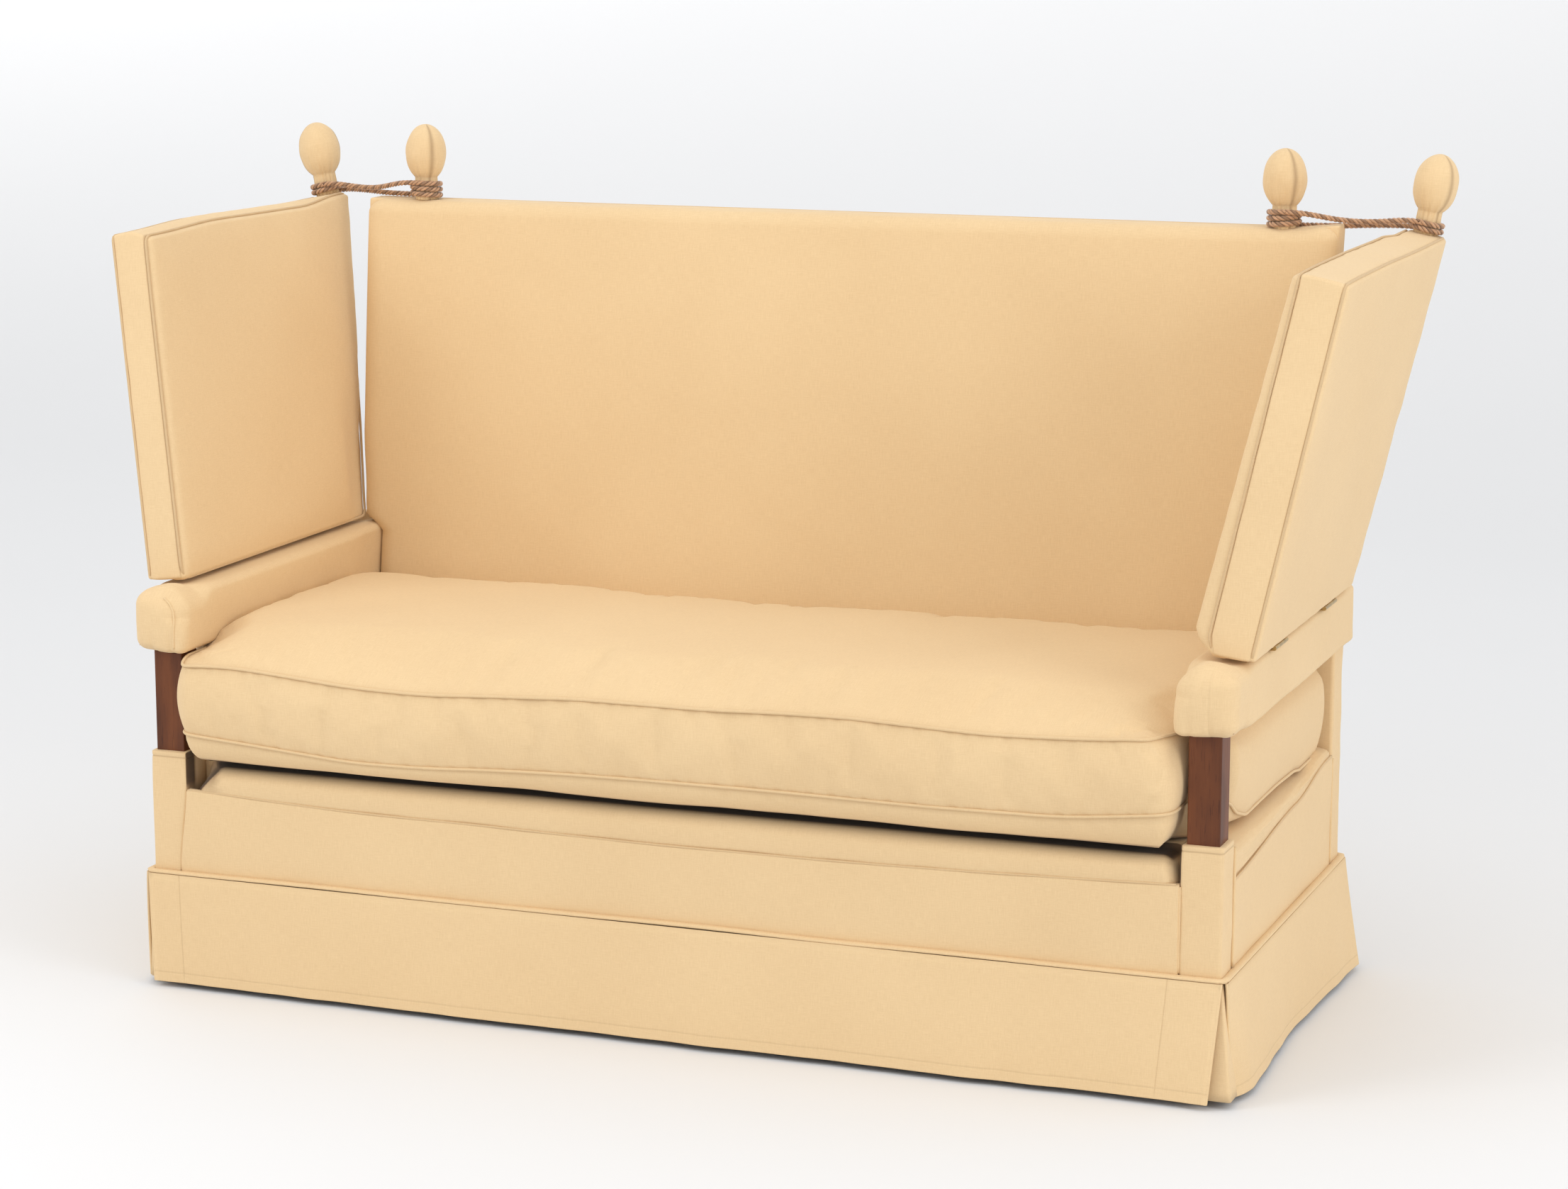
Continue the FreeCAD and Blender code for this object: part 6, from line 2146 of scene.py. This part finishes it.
    @staticmethod
    def turned(surface: Surface, base: tuple[float, float], quarter: int) -> Surface:
        """A surface turned by quarter turns about the upright axis and moved to its place.

        Args:
            surface: What is turned.
            base: Where its origin goes in plan.
            quarter: Number of quarter turns to the left.

        Returns:
            The turned surface.
        """
        cosine, sine = ((1, 0), (0, 1), (-1, 0), (0, -1))[quarter]
        x, y, z = surface.points.T
        return surface.at(x * cosine - y * sine + base[0], x * sine + y * cosine + base[1], z, surface.seam)


# Woodwork and metal


@dataclass
class Frame:
    """Wood and metal of the CAD model, which keep their shape and get their finish."""

    finishes: Finishes
    nodes: dict[str, bpy.types.Object] = field(default_factory=dict)

    def finish_for(self, name: str) -> bpy.types.Material:
        """Material of one CAD node, by its name."""
        finishes = self.finishes
        table = {
            "front_post": finishes.mahogany,
            "hinge_fixed_leaves": finishes.brass,
            "hinge_pins": finishes.brass,
            "hinge_moving_leaves": finishes.brass,
            "arm_eye": finishes.iron,
            "seat_springs": finishes.spring,
            "foot_glides": finishes.glide,
        }
        return next((finish for ending, finish in table.items() if name.endswith(ending)), finishes.beech)

    def dress(self) -> None:
        """Gives every CAD node its material."""
        for name, node in self.nodes.items():
            node.data.materials.clear()
            node.data.materials.append(self.finish_for(name))


# Studio


@dataclass(frozen=True)
class Softbox:
    """Soft white rectangular lamp that faces the sofa's middle."""

    name: str
    place: Triple
    size: tuple[float, float]
    watts: float
    aim: Triple = (0.0, 0.0, 0.6)

    def hang(self) -> None:
        """Puts the lamp into the scene."""
        data = bpy.data.lights.new(self.name, "AREA")
        data.shape = "RECTANGLE"
        data.size, data.size_y = self.size
        data.energy = self.watts
        lamp = in_scene(self.name, data)
        lamp.location = self.place
        x, y, z = np.array(self.aim) - np.array(self.place)
        lamp.rotation_euler = (math.atan2(math.hypot(x, y), -z), 0.0, math.atan2(-x, y))


@dataclass(frozen=True)
class Studio:
    """Pale floor that sweeps up into a pale wall, and soft light."""

    floor_colour: Triple = (0.80, 0.805, 0.815)
    room_light: float = 0.94
    near: float = -9.0
    bend_starts: float = 4.0
    bend: float = 8.0
    top: float = 11.0
    half_width: float = 14.0
    lamps: tuple[Softbox, ...] = (
        Softbox("right_softbox", (4.5, -1.8, 2.2), (2.2, 2.2), 55.0),
        Softbox("top_softbox", (0.0, -0.8, 4.2), (3.4, 2.6), 18.0),
        Softbox("left_softbox", (-2.0, -2.6, 2.6), (1.6, 1.6), 28.0),
    )

    def paper(self) -> bpy.types.Material:
        """Pale paper that glows a little more up the wall and on the left.

        Returns:
            The material.
        """
        shader = Shader("studio_paper")
        darker = [each * 0.985 for each in self.floor_colour]
        tone = shader.blend(shader.noise(shader.place(), 1.5, 2.0), self.floor_colour, darker)
        x, _, z = shader.parts(shader.place())
        glow = ((z * 0.55).held() * (0.205 - x * 0.035)).held()
        return shader.finished(
            Base_Color=tone,
            Roughness=0.7,
            Specular_IOR_Level=0.2,
            Emission_Color=shader.vector(glow, glow, glow),
            Emission_Strength=1.0,
        )

    def sweep(self) -> None:
        """Makes floor and wall as one sheet: flat, then a quarter circle, then upright."""
        angle = np.linspace(0, math.pi / 2, 49)
        wall = self.bend_starts + self.bend
        run = np.concatenate([[self.near], self.bend_starts + self.bend * np.sin(angle), [wall]])
        rise = np.concatenate([[0.0], self.bend * (1 - np.cos(angle)), [self.top]])
        across = np.array([-self.half_width, self.half_width])
        row, side = np.meshgrid(np.arange(len(run)), np.arange(2), indexing="ij")
        points = np.stack([across[side], run[row], rise[row]], -1).reshape(-1, 3)
        first = np.arange(len(run) - 1) * 2
        quads = np.stack([first, first + 1, first + 3, first + 2], 1)
        mesh = bpy.data.meshes.new("studio_sweep")
        mesh.from_pydata(points.tolist(), [], quads.tolist())
        mesh.polygons.foreach_set("use_smooth", np.ones(len(quads), bool))
        mesh.materials.append(self.paper())
        in_scene("studio_sweep", mesh)

    def light(self) -> None:
        """Sets the room's even light and the lamps, and a plain view transform."""
        world = bpy.data.worlds.new("studio_light")
        world.use_nodes = True
        background = world.node_tree.nodes["Background"]
        background.inputs["Color"].default_value = (1.0, 1.0, 1.0, 1.0)
        background.inputs["Strength"].default_value = self.room_light
        bpy.context.scene.world = world
        for lamp in self.lamps:
            lamp.hang()
        settings = bpy.context.scene.view_settings
        settings.view_transform = "Standard"
        settings.look = "None"
        settings.exposure = 0.0


def main() -> None:
    """Builds the sofa's pieces round the CAD model and sets the studio."""
    logging.basicConfig(level=logging.INFO, format="%(name)s: %(message)s")
    Viewpoint().set_up()
    finishes = Finishes()
    for side in Side:
        TiedCord(side, finishes).build()
    Finials(finishes).build()
    Back(finishes).build()
    for side in Side:
        DropArm.at_side(side, finishes).build()
        ArmRail(side, finishes).build()
    Seat(finishes).build()
    SeatCushion(finishes).build()
    Skirt(finishes).build()
    Frame(finishes, frame["nodes"]).dress()
    studio = Studio()
    studio.sweep()
    studio.light()


if __name__ == "__main__":
    main()
